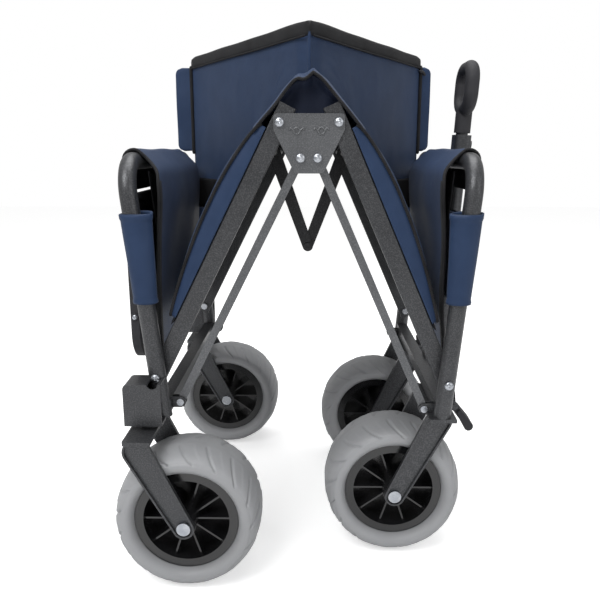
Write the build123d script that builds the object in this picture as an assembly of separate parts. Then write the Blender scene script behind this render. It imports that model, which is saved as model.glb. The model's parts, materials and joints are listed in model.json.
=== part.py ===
from build123d import *
import os
from math import asin, atan2, cos, degrees, hypot, radians, sin, sqrt

# Folding beach cart, drawn partly folded, as it stands on its four wheels.
# Millimetres and degrees. X runs along the cart, front casters at -X and push handle at +X.
# Y runs across it, near side at -Y. Z is up and the floor is z = 0.
# Everything is drawn about the middle of the side plates, then moved so that the origin
# is the middle of the footprint.

# ---- wheels ----
wheel_diameter = 240.0
tyre_width = 112.0
bead_diameter = 148.0        # where the tyre sits on the rim barrel
rim_lip_diameter = 168.0
rim_width = 85.0
rim_wall = 4.0
hub_diameter = 36.0
spoke_count = 10
spoke_thickness = 3.0
axle_diameter = 12.0

# ---- forks and casters ----
fork_side_gap = 5.0          # tyre to fork plate, each side
fork_plate = 3.5
fork_lip = 8.0               # depth of the flange pressed round each fork plate
fork_top_radius = 22.0
fork_foot_radius = 17.0
tyre_top_gap = 22.0          # tyre to the underside of the crown
crown_thickness = 6.0
caster_trail = 60.0          # how far the axle sits from the swivel axis
stem_diameter = 16.0
stem_length = 32.0
bush_height = 8.0
stem_gap_x = 4.0             # swivel axis outboard of the front leg's side, at its foot
stem_gap_y = 3.0
rear_axle_rake = 70.0        # rear axle inboard of the rear leg's foot
rear_fork_inset = 9.5        # rear leg to the outer rear fork plate

# ---- end frames ----
tube_diameter = 28.0
tube_wall = 1.6
leg_half_width = 255.0       # middle plane to leg centre line
leg_height = 410.0           # foot to the centre line of the top tube
leg_foot_gap = 10.0          # caster crown to the foot of the leg
frame_bend_radius = 55.0
front_lean = 0.105           # outward run per unit of height
rear_lean = 0.085
cross_member_size = 22.0
cross_member_wall = 2.0
cross_member_rise = 12.0     # foot of the leg to the cross member's centre line

# ---- side linkage ----
rail_length = 446.8          # plate pivot to leg pivot
fold_angle = 63.26           # slope of the front rails as drawn
rail_height = 28.0
rail_width = 14.0
rail_wall = 1.5
rail_top_overhang = 28.0
rail_foot_overhang = 13.0
front_pivot_rise = 69.0      # foot of the leg to the front rail's pivot
rear_pivot_drop = 9.9        # rear rail pivot below the front one
plate_half_pitch = 45.0      # middle of the plate to each rail pivot
plate_thickness = 3.0
plate_half_top = 54.0
plate_half_foot = 22.0
plate_top_margin = 13.0
plate_shoulder = 24.0
plate_foot_margin = 23.0
link_offset_x = 32.0         # rail pivot to link pivot, towards the middle
link_offset_z = 53.0         # rail pivot to link pivot, downwards
link_width = 13.0
link_thickness = 6.0
pin_diameter = 8.0
pin_clearance = 0.05         # radial, where something turns on a pin
side_gap = 2.0               # leg to rail
plate_gap = 0.5              # rail to plate
head_radius = 7.0
head_height = 3.5

# ---- centre brace ----
cross_tube_diameter = 16.0
brace_hold = 49.0            # plate pivot to the cross tube, along the rail
brace_length = 190.4
brace_width = 20.0
brace_thickness = 4.0
arm_gap = 0.5                # middle plane to each arm
brace_rivet_radius = 7.0

# ---- floor, walls and trim ----
board_thickness = 4.0
board_start = 20.0
board_end = 365.0
board_overhang = 6.0          # floor board past the rails' middle
seam_gap = 0.2
folded_wall_thickness = 14.0
folded_wall_start = 30.0
folded_wall_end = 331.0
folded_wall_inner = 100.0
end_wall_thickness = 8.0
end_wall_rail_gap = 4.0       # near edge of an end wall to the inner face of the rail
front_wall_far = 158.0
rear_wall_far = 143.0
hood_radius = 20.0
hood_half_width = 190.0
hood_skirt = 38.0
sleeve_radius = 18.0
sleeve_length = 157.0
sleeve_top_drop = 76.0        # top tube to the sleeves' upper hem
pocket_depth = 18.0
wall_thickness = 5.0
wall_lift = 212.0            # how far the far wall stands above the end frames as drawn
wall_bottom_rise = 24.0      # clear height over the front rails' pivots when the cart is open
wall_fold_y = -200.0         # where the far wall's middle crease stands
wall_hinge_inset = 25.0       # leg's middle plane to the far wall's hinge lines
front_hinge_gap = 24.843      # top tube to the hinge line, inwards
rear_hinge_gap = 16.855
wall_seam = 6.0              # hinge line to the edge of the wall
front_notch_start = 185.0    # along the wall, where its lower edge starts to rise
rear_notch_start = 165.0
wall_notch_rise = 245.0
corner_thickness = 4.0
corner_cut = 60.0            # the corner flap's tip, cut off behind the side plate
corner_fold = 150.0          # how far the corner flap is folded back
strip_gap = 0.3              # hinge line to the strip
strip_width = 1.2
strip_depth = 10.0

# ---- front tray ----
tray_top_drop = 53.0          # top tube to the tray's upper edge
tray_height = 278.0
tray_side_gap = 30.0          # leg's middle plane to the tray's side
tray_depth = 14.0
tray_wall = 3.0
tray_leg_gap = 16.728         # leg's centre line to the tray's outer face, at its upper edge
tray_corner = 50.0
tray_pin_diameter = 6.0

# ---- push handle ----
socket_diameter = 26.0
handle_tube_diameter = 22.0
handle_wall = 1.5
handle_lean = 0.05
handle_clearance = 0.2       # rear top tube to the socket
socket_foot_rise = 34.0      # foot of the leg to the socket's lower end
socket_top_rise = 12.0       # top tube to the socket's upper end
collar_width = 45.0
collar_height = 32.0
handle_travel = 300.0
handle_neck_rise = 74.0      # top tube to the neck's upper end
grip_half_width = 54.0
grip_height = 76.0
grip_radius = 12.5
button_diameter = 14.0
button_travel = 3.0

# ---- foot brakes ----
brake_pivot_x = 34.0         # outboard of the rear leg's foot
brake_pivot_drop = 9.0       # below the foot of the leg
brake_width = 34.0

# ---- worked out from the sizes above ----
wheel_radius = wheel_diameter / 2
fork_gap = tyre_width / 2 + fork_side_gap
crown_bottom = wheel_diameter + tyre_top_gap
crown_top = crown_bottom + crown_thickness
leg_foot = crown_top + leg_foot_gap
frame_top = leg_foot + leg_height
front_pivot_z = leg_foot + front_pivot_rise
rear_pivot_z = front_pivot_z - rear_pivot_drop
plate_z = front_pivot_z + rail_length * sin(radians(fold_angle))
rear_fold_angle = degrees(asin((plate_z - rear_pivot_z) / rail_length))
rear_open_angle = degrees(asin(rear_pivot_drop / rail_length))
rear_ratio = (rear_fold_angle - rear_open_angle) / fold_angle
front_pivot_x = -plate_half_pitch - rail_length * cos(radians(fold_angle))
rear_pivot_x = plate_half_pitch + rail_length * cos(radians(rear_fold_angle))
tube_radius = tube_diameter / 2
rail_y = leg_half_width - tube_radius - side_gap - rail_width / 2
plate_y = rail_y + rail_width / 2 + plate_gap


def front_leg_x(z):
    """Centre line of the front legs at height z."""
    return front_pivot_x - front_lean * (z - front_pivot_z)


def rear_leg_x(z):
    """Centre line of the rear legs at height z."""
    return rear_pivot_x + rear_lean * (z - rear_pivot_z)


stem_x = front_leg_x(leg_foot) - tube_radius - stem_gap_x
stem_y = leg_half_width + tube_radius + stem_gap_y
front_axle_x = stem_x + caster_trail
rear_axle_x = rear_leg_x(leg_foot) - rear_axle_rake
rear_wheel_y = leg_half_width - tube_radius - rear_fork_inset - fork_plate - fork_gap
handle_base_x = rear_leg_x(frame_top) + tube_radius + handle_clearance + socket_diameter / 2
socket_bottom = leg_foot + socket_foot_rise
socket_top = frame_top + socket_top_rise
handle_neck_top = frame_top + handle_neck_rise


def handle_x(z):
    """Centre line of the push handle at height z."""
    return handle_base_x + handle_lean * (z - frame_top)


board_half_width = rail_y + board_overhang
end_wall_near = rail_y - rail_width / 2 - end_wall_rail_gap
sleeve_top = frame_top - sleeve_top_drop
sleeve_bottom = sleeve_top - sleeve_length
wall_hinge_y = leg_half_width - wall_hinge_inset
front_wall_hinge_x = front_leg_x(frame_top) + front_hinge_gap
rear_wall_hinge_x = rear_leg_x(frame_top) - rear_hinge_gap
tray_top = frame_top - tray_top_drop
tray_bottom = tray_top - tray_height
tray_half_width = leg_half_width - tray_side_gap
tray_outer_x = front_leg_x(tray_top) - tray_leg_gap
wall_top = frame_top + wall_lift
wall_bottom = front_pivot_z + wall_bottom_rise + wall_lift
front_wall_reach = hypot(front_wall_hinge_x, wall_hinge_y - wall_fold_y)
rear_wall_reach = hypot(rear_wall_hinge_x, wall_hinge_y - wall_fold_y)
front_wall_angle = degrees(atan2(wall_hinge_y - wall_fold_y, -front_wall_hinge_x))
rear_wall_angle = degrees(atan2(wall_hinge_y - wall_fold_y, rear_wall_hinge_x))

nodes = {}


def box(x0, x1, y0, y1, z0, z1):
    """Box between two corners."""
    return Pos((x0 + x1) / 2, (y0 + y1) / 2, (z0 + z1) / 2) * Box(x1 - x0, y1 - y0, z1 - z0)


def cross_bar(x, z, y0, y1, radius):
    """Round bar along Y."""
    bar = Cylinder(radius, y1 - y0)
    return Pos(x, (y0 + y1) / 2, z) * Rot(90, 0, 0) * bar


def far_of(shape):
    """The same piece on the far side."""
    return mirror(shape, about=Plane.XZ)


def side_profile(points, y0, y1):
    """Outline drawn in X and Z, carried from y0 to y1."""
    outline = Polyline(*[(x, y0, z) for x, z in points], close=True)
    return extrude(make_face(outline), amount=y1 - y0, dir=(0, 1, 0))


def tapered_plate(x0, z0, r0, x1, z1, r1, y0, y1):
    """Plate in X and Z with two round ends of different radius."""
    span = hypot(x1 - x0, z1 - z0)
    base = atan2(z1 - z0, x1 - x0)
    tilt = asin((r0 - r1) / span)
    up, down = base + radians(90) - tilt, base - radians(90) + tilt
    corners = [(x0 + r0 * cos(up), z0 + r0 * sin(up)), (x1 + r1 * cos(up), z1 + r1 * sin(up)),
               (x1 + r1 * cos(down), z1 + r1 * sin(down)), (x0 + r0 * cos(down), z0 + r0 * sin(down))]
    plate = side_profile(corners, y0, y1)
    return plate + cross_bar(x0, z0, y0, y1, r0) + cross_bar(x1, z1, y0, y1, r1)


# ---- wheels ----
def tyre(x, y):
    """Balloon tyre with its bead on the rim barrel."""
    bead, lip, half = bead_diameter / 2 + 0.1, rim_lip_diameter / 2 + 0.3, rim_width / 2 - rim_wall - 0.1
    side_radius = lip + (wheel_radius - lip) * 0.42
    wall = tyre_width / 2
    edge = Line((bead, -half, 0), (bead, half, 0)) + Line((bead, half, 0), (lip, half, 0))
    edge += ThreePointArc((lip, half, 0), (lip + 6, wall - 5, 0), (side_radius, wall, 0))
    edge += ThreePointArc((side_radius, wall, 0), (wheel_radius - 7, wall * 0.62, 0), (wheel_radius, 0, 0))
    edge += ThreePointArc((wheel_radius, 0, 0), (wheel_radius - 7, -wall * 0.62, 0), (side_radius, -wall, 0))
    edge += ThreePointArc((side_radius, -wall, 0), (lip + 6, -(wall - 5), 0), (lip, -half, 0))
    edge += Line((lip, -half, 0), (bead, -half, 0))
    return Pos(x, y, wheel_radius) * revolve(make_face(edge), axis=Axis.Y)


def rim(x, y):
    """Moulded rim: barrel with two lips, centre disc, hub and thin spokes on both faces."""
    barrel, half = bead_diameter / 2, rim_width / 2
    body = cross_bar(0, 0, -half, half, barrel)
    for end in (-1, 1):
        low, high = sorted((end * half, end * (half - rim_wall)))
        body += cross_bar(0, 0, low, high, rim_lip_diameter / 2)
    body -= cross_bar(0, 0, rim_wall / 2, half + 1, barrel - rim_wall)
    body -= cross_bar(0, 0, -half - 1, -rim_wall / 2, barrel - rim_wall)
    spoke_start, spoke_end = hub_diameter / 2 - 2, barrel - rim_wall + 1
    for number in range(spoke_count):
        spoke = box(spoke_start, spoke_end, -half + 8, half - 8, -spoke_thickness / 2, spoke_thickness / 2)
        body += Rot(0, number * 360 / spoke_count, 0) * spoke
    body += cross_bar(0, 0, -fork_gap + 1, fork_gap - 1, hub_diameter / 2)
    body -= cross_bar(0, 0, -fork_gap, fork_gap, axle_diameter / 2 + pin_clearance)
    return Pos(x, y, wheel_radius) * body


def axle(x, y):
    """Axle bolt through both fork plates, with a head and a nut."""
    outer = fork_gap + fork_plate
    bolt = cross_bar(x, wheel_radius, y - outer, y + outer, axle_diameter / 2)
    for end in (-1, 1):
        low, high = sorted((y + end * outer, y + end * (outer + 5)))
        bolt += cross_bar(x, wheel_radius, low, high, axle_diameter / 2 + 5)
    return bolt


# ---- forks ----
def fork_plates(top_x, top_z, foot_x, y):
    """Two pressed plates with a flange turned outwards, one each side of the tyre."""
    pair = Part()
    for end in (-1, 1):
        inner, outer = y + end * fork_gap, y + end * (fork_gap + fork_plate)
        rim_edge = y + end * (fork_gap + fork_lip)
        low, high = sorted((inner, rim_edge))
        side = tapered_plate(top_x, top_z, fork_top_radius, foot_x, wheel_radius, fork_foot_radius, low, high)
        low, high = sorted((outer, rim_edge + end))
        wall = 3.0
        side -= tapered_plate(top_x, top_z, fork_top_radius - wall, foot_x, wheel_radius,
                              fork_foot_radius - wall, low, high)
        side -= cross_bar(foot_x, wheel_radius, y - fork_gap - 20, y + fork_gap + 20, axle_diameter / 2 + 0.05)
        pair += side
    return pair


def caster_fork(y):
    """Swivelling front fork: crown, stem and two raked plates."""
    top_x, top_z = stem_x - 8, crown_bottom - fork_top_radius * 0.5
    reach = fork_gap + fork_lip
    plates = fork_plates(top_x, top_z, front_axle_x, y)
    plates -= box(top_x - 60, top_x + 60, y - reach - 5, y + reach + 5, crown_bottom, crown_top + 60)
    crown = box(top_x - fork_top_radius, top_x + fork_top_radius, y - reach, y + reach, crown_bottom, crown_top)
    crown = fillet(crown.edges().filter_by(Axis.Z), 4)
    stem = Pos(stem_x, y, crown_top) * Cylinder(stem_diameter / 2, stem_length,
                                               align=(Align.CENTER, Align.CENTER, Align.MIN))
    bush = Pos(stem_x, y, crown_top) * Cylinder(stem_diameter / 2 + 7, bush_height - 0.3,
                                               align=(Align.CENTER, Align.CENTER, Align.MIN))
    return plates + crown + stem + bush


def rear_fork():
    """Fixed rear fork: a crown plate under the leg's foot and two raked plates."""
    foot_x = rear_leg_x(leg_foot)
    top_z = leg_foot - crown_thickness - fork_top_radius * 0.5
    inner_y, outer_y = -rear_wheel_y + fork_gap + fork_lip, -leg_half_width - tube_radius
    plates = fork_plates(foot_x, top_z, rear_axle_x, -rear_wheel_y)
    plates -= box(foot_x - 60, foot_x + 60, outer_y - 9, inner_y + 9, leg_foot - crown_thickness, leg_foot + 60)
    crown = box(foot_x - fork_top_radius, foot_x + fork_top_radius, outer_y, inner_y,
                leg_foot - crown_thickness, leg_foot)
    ears = Part()
    pivot_x, pivot_z = foot_x + brake_pivot_x, leg_foot - brake_pivot_drop
    for end in (-1, 1):
        y0, y1 = sorted((-rear_wheel_y + end * (brake_width / 2 + 0.5), -rear_wheel_y + end * (brake_width / 2 + 3.5)))
        ear = box(foot_x + fork_top_radius - 2, pivot_x, y0, y1, pivot_z - 8, leg_foot)
        ears += ear + cross_bar(pivot_x, pivot_z, y0, y1, 8)
    pin = cross_bar(pivot_x, pivot_z, -rear_wheel_y - brake_width / 2 - 6, -rear_wheel_y + brake_width / 2 + 6, 3)
    return plates + crown + ears + pin


# ---- end frames ----
def frame_solid(leg_x, radius):
    """Upside-down U of round bar in the plane of one end frame."""
    corners = [(leg_x(leg_foot - 20), -leg_half_width, leg_foot - 20), (leg_x(frame_top), -leg_half_width, frame_top),
               (leg_x(frame_top), leg_half_width, frame_top), (leg_x(leg_foot - 20), leg_half_width, leg_foot - 20)]
    path = FilletPolyline(*corners, radius=frame_bend_radius)
    section = Plane(origin=path @ 0, z_dir=path % 0) * Circle(radius)
    return sweep(section, path=path)


def end_frame(leg_x, pivot_x, pivot_z):
    """Bent tube of one end frame, square at the foot, drilled for the rail pivots."""
    bar = frame_solid(leg_x, tube_radius) - frame_solid(leg_x, tube_radius - tube_wall)
    bar -= box(pivot_x - 200, pivot_x + 200, -leg_half_width - 50, leg_half_width + 50, leg_foot - 60, leg_foot)
    return bar - cross_bar(pivot_x, pivot_z, -leg_half_width - 30, leg_half_width + 30, pin_diameter / 2 + pin_clearance)


def cross_member(leg_x, legs, link_x, link_z):
    """Square tube between the legs' feet, with two pairs of ears for the lower links."""
    z = leg_foot + cross_member_rise
    x, half = leg_x(z), cross_member_size / 2
    inner = half - cross_member_wall
    bar = box(x - half, x + half, -leg_half_width, leg_half_width, z - half, z + half)
    bar -= box(x - inner, x + inner, -leg_half_width - 1, leg_half_width + 1, z - inner, z + inner)
    bar -= legs
    inward = 1 if link_x > x else -1
    for side in (-1, 1):
        for offset in (-1, 1):
            middle = side * rail_y + offset * (link_thickness / 2 + 2.5)
            near_x, far_x = sorted((x + inward * half, link_x))
            ear = box(near_x, far_x, middle - 1.5, middle + 1.5, link_z - 9, link_z + 9)
            ear += cross_bar(link_x, link_z, middle - 1.5, middle + 1.5, 9)
            ear -= box(near_x - 20, far_x + 20, middle - 3, middle + 3, link_z - 20, leg_foot + 0.5)
            bar += ear - cross_bar(link_x, link_z, middle - 3, middle + 3, pin_diameter / 2 + pin_clearance)
    return bar


def pivot_bolts(pivot_x, pivot_z, link_x, link_z):
    """Bolts of one end frame: rail pivots through the legs and link pins through the ears."""
    bolts = Part()
    outer = leg_half_width + tube_radius
    rail_inner, rail_outer = rail_y - rail_width / 2, rail_y + rail_width / 2
    pivot = cross_bar(pivot_x, pivot_z, -outer, -rail_inner + 5, pin_diameter / 2)
    pivot += cross_bar(pivot_x, pivot_z, -outer - head_height, -outer, head_radius)
    pivot += cross_bar(pivot_x, pivot_z, -leg_half_width + tube_radius, -rail_outer - 0.3, head_radius)
    pivot += cross_bar(pivot_x, pivot_z, -rail_inner + 0.5, -rail_inner + 5, head_radius)
    ear_outer, ear_inner = rail_y + link_thickness / 2 + 4, rail_y - link_thickness / 2 - 4
    pin = cross_bar(link_x, link_z, -ear_outer, -ear_inner, pin_diameter / 2)
    pin += cross_bar(link_x, link_z, -ear_outer - 1.6, -ear_outer, head_radius - 1)
    pin += cross_bar(link_x, link_z, -ear_inner, -ear_inner + head_height, head_radius - 1)
    for piece in (pivot, pin):
        bolts += piece
        bolts += far_of(piece)
    return bolts


def caster_housing(legs):
    """Pressed housing bolted round the near front leg's foot, holding the swivel stem."""
    x0, x1 = stem_x - 36, front_leg_x(leg_foot) + 6
    y0, y1 = -stem_y - 26, -leg_half_width + 4
    z0, z1 = crown_top + bush_height, leg_foot + 68
    shell = box(x0, x1, y0, y1, z0, z1)
    shell = fillet(shell.edges().filter_by(Axis.Y).sort_by(Axis.Z)[-2:].sort_by(Axis.X)[:1], 8)
    shell -= box(x0 + 3, x1 + 1, y0 + 3, y1 - 3, z0 + 4, z1 - 3)
    for number in range(3):
        rib_z = z0 + 16 + number * 17
        shell += box(x0 + 3, stem_x - 12, y0 + 3, y1 - 3, rib_z, rib_z + 2)
    boss = Pos(stem_x, -stem_y, z0) * Cylinder(stem_diameter / 2 + 5, stem_length,
                                              align=(Align.CENTER, Align.CENTER, Align.MIN))
    shell += boss
    shell -= Pos(stem_x, -stem_y, z0 - 1) * Cylinder(stem_diameter / 2 + pin_clearance, stem_length + 6,
                                                    align=(Align.CENTER, Align.CENTER, Align.MIN))
    return shell - legs - cross_bar(front_pivot_x, front_pivot_z, y0 - 9, y1 + 9, head_radius + 2)


# ---- side linkage ----
def rail_frame(front):
    """Plane at a plate pivot: x runs down the rail, z stands off it, and y is -Y on the front rails."""
    slope = radians(fold_angle if front else rear_fold_angle)
    sign = -1 if front else 1
    return Plane(origin=(sign * plate_half_pitch, 0, plate_z), x_dir=(sign * cos(slope), 0, -sin(slope)),
                 z_dir=(sign * sin(slope), 0, cos(slope)))


def rail(front, side):
    """Box-section rail, drilled for its two pivots and the cross tube's seat."""
    x0, x1 = -rail_top_overhang, rail_length + rail_foot_overhang
    half, width = rail_height / 2, rail_width / 2
    side = -side if front else side
    bar = box(x0, x1, side * rail_y - width, side * rail_y + width, -half, half)
    bar = fillet(bar.edges().filter_by(Axis.X), 2)
    bar -= box(x0 - 1, x1 + 1, side * rail_y - width + rail_wall, side * rail_y + width - rail_wall,
               -half + rail_wall, half - rail_wall)
    for place in (0, rail_length):
        sleeve = cross_bar(place, 0, side * rail_y - width, side * rail_y + width, pin_diameter / 2 + 1.5)
        bar += sleeve
        bar -= cross_bar(place, 0, side * rail_y - width - 1, side * rail_y + width + 1,
                         pin_diameter / 2 + pin_clearance)
    return rail_frame(front) * bar


def rail_piece(front, x0, x1, y0, y1, z0, z1):
    """Block placed along one pair of rails."""
    return rail_frame(front) * box(x0, x1, y0, y1, z0, z1)


def cross_tube(front):
    """Round tube that joins the two rails of one end and carries the brace."""
    reach = rail_y - rail_width / 2
    bar = cross_bar(brace_hold, 0, -reach, reach, cross_tube_diameter / 2)
    bar -= cross_bar(brace_hold, 0, -reach - 1, reach + 1, cross_tube_diameter / 2 - 1.5)
    return rail_frame(front) * bar


def link(pivot_x, pivot_z, foot_x, foot_z, side):
    """Flat lower link with an eye at each end."""
    span, slope = hypot(foot_x - pivot_x, foot_z - pivot_z), atan2(foot_z - pivot_z, foot_x - pivot_x)
    y0, y1 = side * rail_y - link_thickness / 2, side * rail_y + link_thickness / 2
    bar = tapered_plate(0, 0, link_width / 2, span, 0, link_width / 2, y0, y1)
    for place in (0, span):
        bar -= cross_bar(place, 0, y0 - 1, y1 + 1, pin_diameter / 2 + pin_clearance)
    return Pos(pivot_x, 0, pivot_z) * Rot(0, -degrees(slope), 0) * bar


link_x = plate_half_pitch - link_offset_x
link_z = plate_z - link_offset_z
front_link_foot = (front_pivot_x + link_offset_x, front_pivot_z - link_offset_z)
rear_link_foot = (rear_pivot_x - link_offset_x, rear_pivot_z - link_offset_z)


def gusset_plate():
    """Near side plate that carries the four pivots of one side."""
    top, foot = plate_z + plate_top_margin, link_z - plate_foot_margin
    shoulder = top - plate_shoulder
    outline = [(-plate_half_top, top), (plate_half_top, top), (plate_half_top, shoulder), (plate_half_foot, foot),
               (-plate_half_foot, foot), (-plate_half_top, shoulder)]
    plate = side_profile(outline, -plate_y - plate_thickness, -plate_y)
    plate = fillet(plate.edges().filter_by(Axis.Y), 6)
    for x, z in plate_pivots():
        plate -= cross_bar(x, z, -plate_y - 20, -plate_y + 20, pin_diameter / 2 + pin_clearance)
    return plate


def plate_pivots():
    """X and Z of the four pivots in a side plate."""
    return [(-plate_half_pitch, plate_z), (plate_half_pitch, plate_z), (-link_x, link_z), (link_x, link_z)]


def plate_rivets():
    """Eight shouldered rivets, four in each side plate."""
    rivets = Part()
    outer = plate_y + plate_thickness
    for x, z in plate_pivots():
        is_rail = z > link_z + 1
        held, half = rail_y, rail_width / 2 if is_rail else link_thickness / 2
        rivet = cross_bar(x, z, -outer, -held + half + 0.3, pin_diameter / 2)
        rivet += cross_bar(x, z, -outer - head_height, -outer, head_radius)
        rivet += cross_bar(x, z, -held + half + 0.3, -held + half + head_height, head_radius)
        if not is_rail:
            rivet += cross_bar(x, z, -plate_y, -held - half - 0.3, pin_diameter / 2 + 2)
        rivets += rivet
        rivets += far_of(rivet)
    return rivets


# ---- centre brace ----
front_hold = rail_frame(True).from_local_coords((brace_hold, 0, 0))
rear_hold = rail_frame(False).from_local_coords((brace_hold, 0, 0))
hold_gap = hypot(rear_hold.X - front_hold.X, rear_hold.Z - front_hold.Z)
hold_tilt = atan2(rear_hold.Z - front_hold.Z, rear_hold.X - front_hold.X)
brace_drop = sqrt(brace_length ** 2 - (hold_gap / 2) ** 2)
apex_x = (front_hold.X + rear_hold.X) / 2 + brace_drop * sin(hold_tilt)
apex_z = (front_hold.Z + rear_hold.Z) / 2 - brace_drop * cos(hold_tilt)


def brace_arm(hold, side):
    """Flat arm hung on a cross tube. Each arm keeps its own half of the rivet at the apex."""
    slope = degrees(atan2(apex_z - hold.Z, apex_x - hold.X))
    y0, y1 = sorted((side * arm_gap, side * (arm_gap + brace_thickness)))
    arm = tapered_plate(0, 0, cross_tube_diameter / 2 + 4, brace_length, 0, brace_width / 2, y0, y1)
    arm -= cross_bar(0, 0, y0 - 1, y1 + 1, cross_tube_diameter / 2 + pin_clearance)
    y0, y1 = sorted((side * (arm_gap + brace_thickness), side * (arm_gap + brace_thickness + head_height)))
    arm += cross_bar(brace_length, 0, y0, y1, brace_rivet_radius)
    return Pos(hold.X, 0, hold.Z) * Rot(0, -slope, 0) * arm


# ---- soft goods, as plain closed solids ----
def end_wall(leg_x, inward, far_edge, low_inset, high_inset):
    """Hood over a top tube and the inner wall that hangs from it."""
    top_x = leg_x(frame_top)
    low, knee, high = front_pivot_z + 25, front_pivot_z + 123, frame_top - 64
    inner = [(leg_x(low) + inward * 4, low), (leg_x(knee) + inward * low_inset, knee),
             (leg_x(high) + inward * high_inset, high), (top_x + inward * (hood_radius - 1), frame_top)]
    outer = [(x - inward * end_wall_thickness, z) for x, z in reversed(inner)]
    outer[0] = (top_x + inward * (tube_radius + 0.4), frame_top)
    wall = side_profile(inner + outer, -end_wall_near, far_edge)
    cap = cross_bar(top_x, frame_top, -hood_half_width, far_edge, hood_radius)
    cap -= box(top_x - 40, top_x + 40, -hood_half_width - 1, far_edge + 1, frame_top - 40, frame_top)
    x0, x1 = sorted((top_x - inward * hood_radius, top_x - inward * (tube_radius + 0.3)))
    skirt = box(x0, x1, -hood_half_width, far_edge, frame_top - hood_skirt, frame_top)
    cloth = wall + cap + skirt
    bar = cross_bar(top_x, frame_top, -end_wall_near - 1, far_edge + 1, tube_radius + 0.2)
    return cloth - bar - frame_solid(leg_x, tube_radius + 1.5)


def leg_sleeves(leg_x):
    """Fabric tubes round both legs of one end frame."""
    whole = frame_solid(leg_x, sleeve_radius) - frame_solid(leg_x, tube_radius + 0.3)
    slab = box(leg_x(sleeve_top) - 80, leg_x(sleeve_top) + 80, -leg_half_width - 40, leg_half_width + 40,
               sleeve_bottom, sleeve_top)
    return whole & slab


def rear_pocket():
    """Pocket on the outer side of the rear end, beside the near leg."""
    x0 = rear_leg_x(sleeve_bottom) + 2
    lean = rear_lean * (sleeve_top - sleeve_bottom - 12)
    outline = [(x0, sleeve_bottom), (x0 + pocket_depth, sleeve_bottom + 10),
               (x0 + pocket_depth + lean, sleeve_top - 12), (x0 + lean, sleeve_top - 12)]
    return side_profile(outline, -leg_half_width + sleeve_radius + 2, -40)


def wall_plane(front):
    """Plane at a far wall's hinge: x runs along the wall, z is up."""
    angle = radians(front_wall_angle if front else rear_wall_angle)
    x, sign = (front_wall_hinge_x, 1) if front else (rear_wall_hinge_x, -1)
    return Plane(origin=(x, wall_hinge_y, 0), x_dir=(sign * cos(angle), -sin(angle), 0), z_dir=(0, 0, 1))


def wall_outline(front):
    """Reach of one half of the far wall and where its notch starts."""
    if front:
        return front_wall_reach - wall_thickness, front_notch_start
    return rear_wall_reach - wall_thickness, rear_notch_start


def far_wall(front):
    """One half of the far wall, notched where it rises over the sloping floor."""
    reach, start = wall_outline(front)
    notch_top = wall_bottom + wall_notch_rise
    outline = [(wall_seam, wall_bottom), (start, wall_bottom), (start + wall_notch_rise, notch_top),
               (reach, notch_top), (reach, wall_top), (wall_seam, wall_top)]
    return wall_plane(front) * side_profile(outline, -wall_thickness / 2, wall_thickness / 2)


def corner_axis(front):
    """Plane on a corner flap's hinge line: x runs up the notch, y stands off the wall's outer face."""
    outward = 1 if front else -1
    hinge_y = outward * (wall_thickness / 2 + 0.5 + corner_thickness + 0.25)
    place = Plane(origin=(wall_outline(front)[1], hinge_y, wall_bottom), x_dir=(1, 0, 1), z_dir=(-1, 0, 1))
    return place, outward


def far_corner(front):
    """Flap that closes the notch when the wall is flat, folded back over the wall as drawn."""
    place, outward = corner_axis(front)
    reach, start = wall_outline(front)
    reach = min(reach, start + wall_top - wall_bottom)
    top = wall_bottom + wall_notch_rise - 4
    outline = [(start + 4, wall_bottom), (reach - corner_cut, wall_bottom), (reach, wall_bottom + corner_cut),
               (reach, top), (start + wall_notch_rise, top)]
    y0, y1 = sorted((outward * (wall_thickness / 2 + 0.5), outward * (wall_thickness / 2 + 0.5 + corner_thickness)))
    flat = side_profile(outline, y0, y1)
    hinge = Axis(origin=place.origin, direction=place.x_dir)
    return wall_plane(front) * flat.rotate(hinge, outward * corner_fold)


def far_strip(front):
    """Zip strip that carries one end of the far wall and slides up and down with it."""
    x = front_wall_hinge_x if front else rear_wall_hinge_x
    outward = -1 if front else 1
    x0, x1 = sorted((x + outward * strip_gap, x + outward * (strip_gap + strip_width)))
    return box(x0, x1, wall_hinge_y - strip_depth / 2, wall_hinge_y + strip_depth / 2, frame_top + 18, wall_top - 30)


# ---- front tray ----
tray_hinge_x = tray_outer_x + tray_depth / 2
tray_hinge_z = tray_top - 8


def front_tray():
    """Moulded tray stowed outside the front end, its raised rim towards the cart."""
    height, middle = tray_top - tray_bottom, (tray_top + tray_bottom) / 2
    place = Plane(origin=(tray_outer_x, 0, middle), x_dir=(0, 1, 0), z_dir=(1, 0, 0))
    sheet = Rectangle(2 * tray_half_width, height)
    low = sheet.vertices().sort_by(Axis.Y)[:2]
    sheet = fillet(low, tray_corner)
    sheet = fillet(sheet.vertices().sort_by(Axis.Y)[-2:], 10)
    tray = extrude(place * sheet, amount=tray_depth)
    inside = offset(sheet, amount=-9)
    hollow = extrude(place.offset(tray_wall) * inside, amount=tray_depth)
    tray -= hollow
    bore = cross_bar(tray_hinge_x, tray_hinge_z, -tray_half_width - 1, tray_half_width + 1,
                     tray_pin_diameter / 2 + pin_clearance)
    return tray - bore


def tray_brackets(legs):
    """Brackets on the front legs with the pins that the tray swings on."""
    y0 = -tray_half_width - 1
    ear = box(tray_hinge_x - 8, front_leg_x(tray_hinge_z) - 2, y0 - 3, y0, tray_hinge_z - 9, tray_hinge_z + 9)
    arm = box(front_leg_x(tray_hinge_z) - 12, front_leg_x(tray_hinge_z) - 2, -leg_half_width, y0,
              tray_hinge_z - 9, tray_hinge_z + 9)
    pin = cross_bar(tray_hinge_x, tray_hinge_z, y0, y0 + 9, tray_pin_diameter / 2)
    near = (ear + arm - legs) + pin
    return near + far_of(near)


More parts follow.
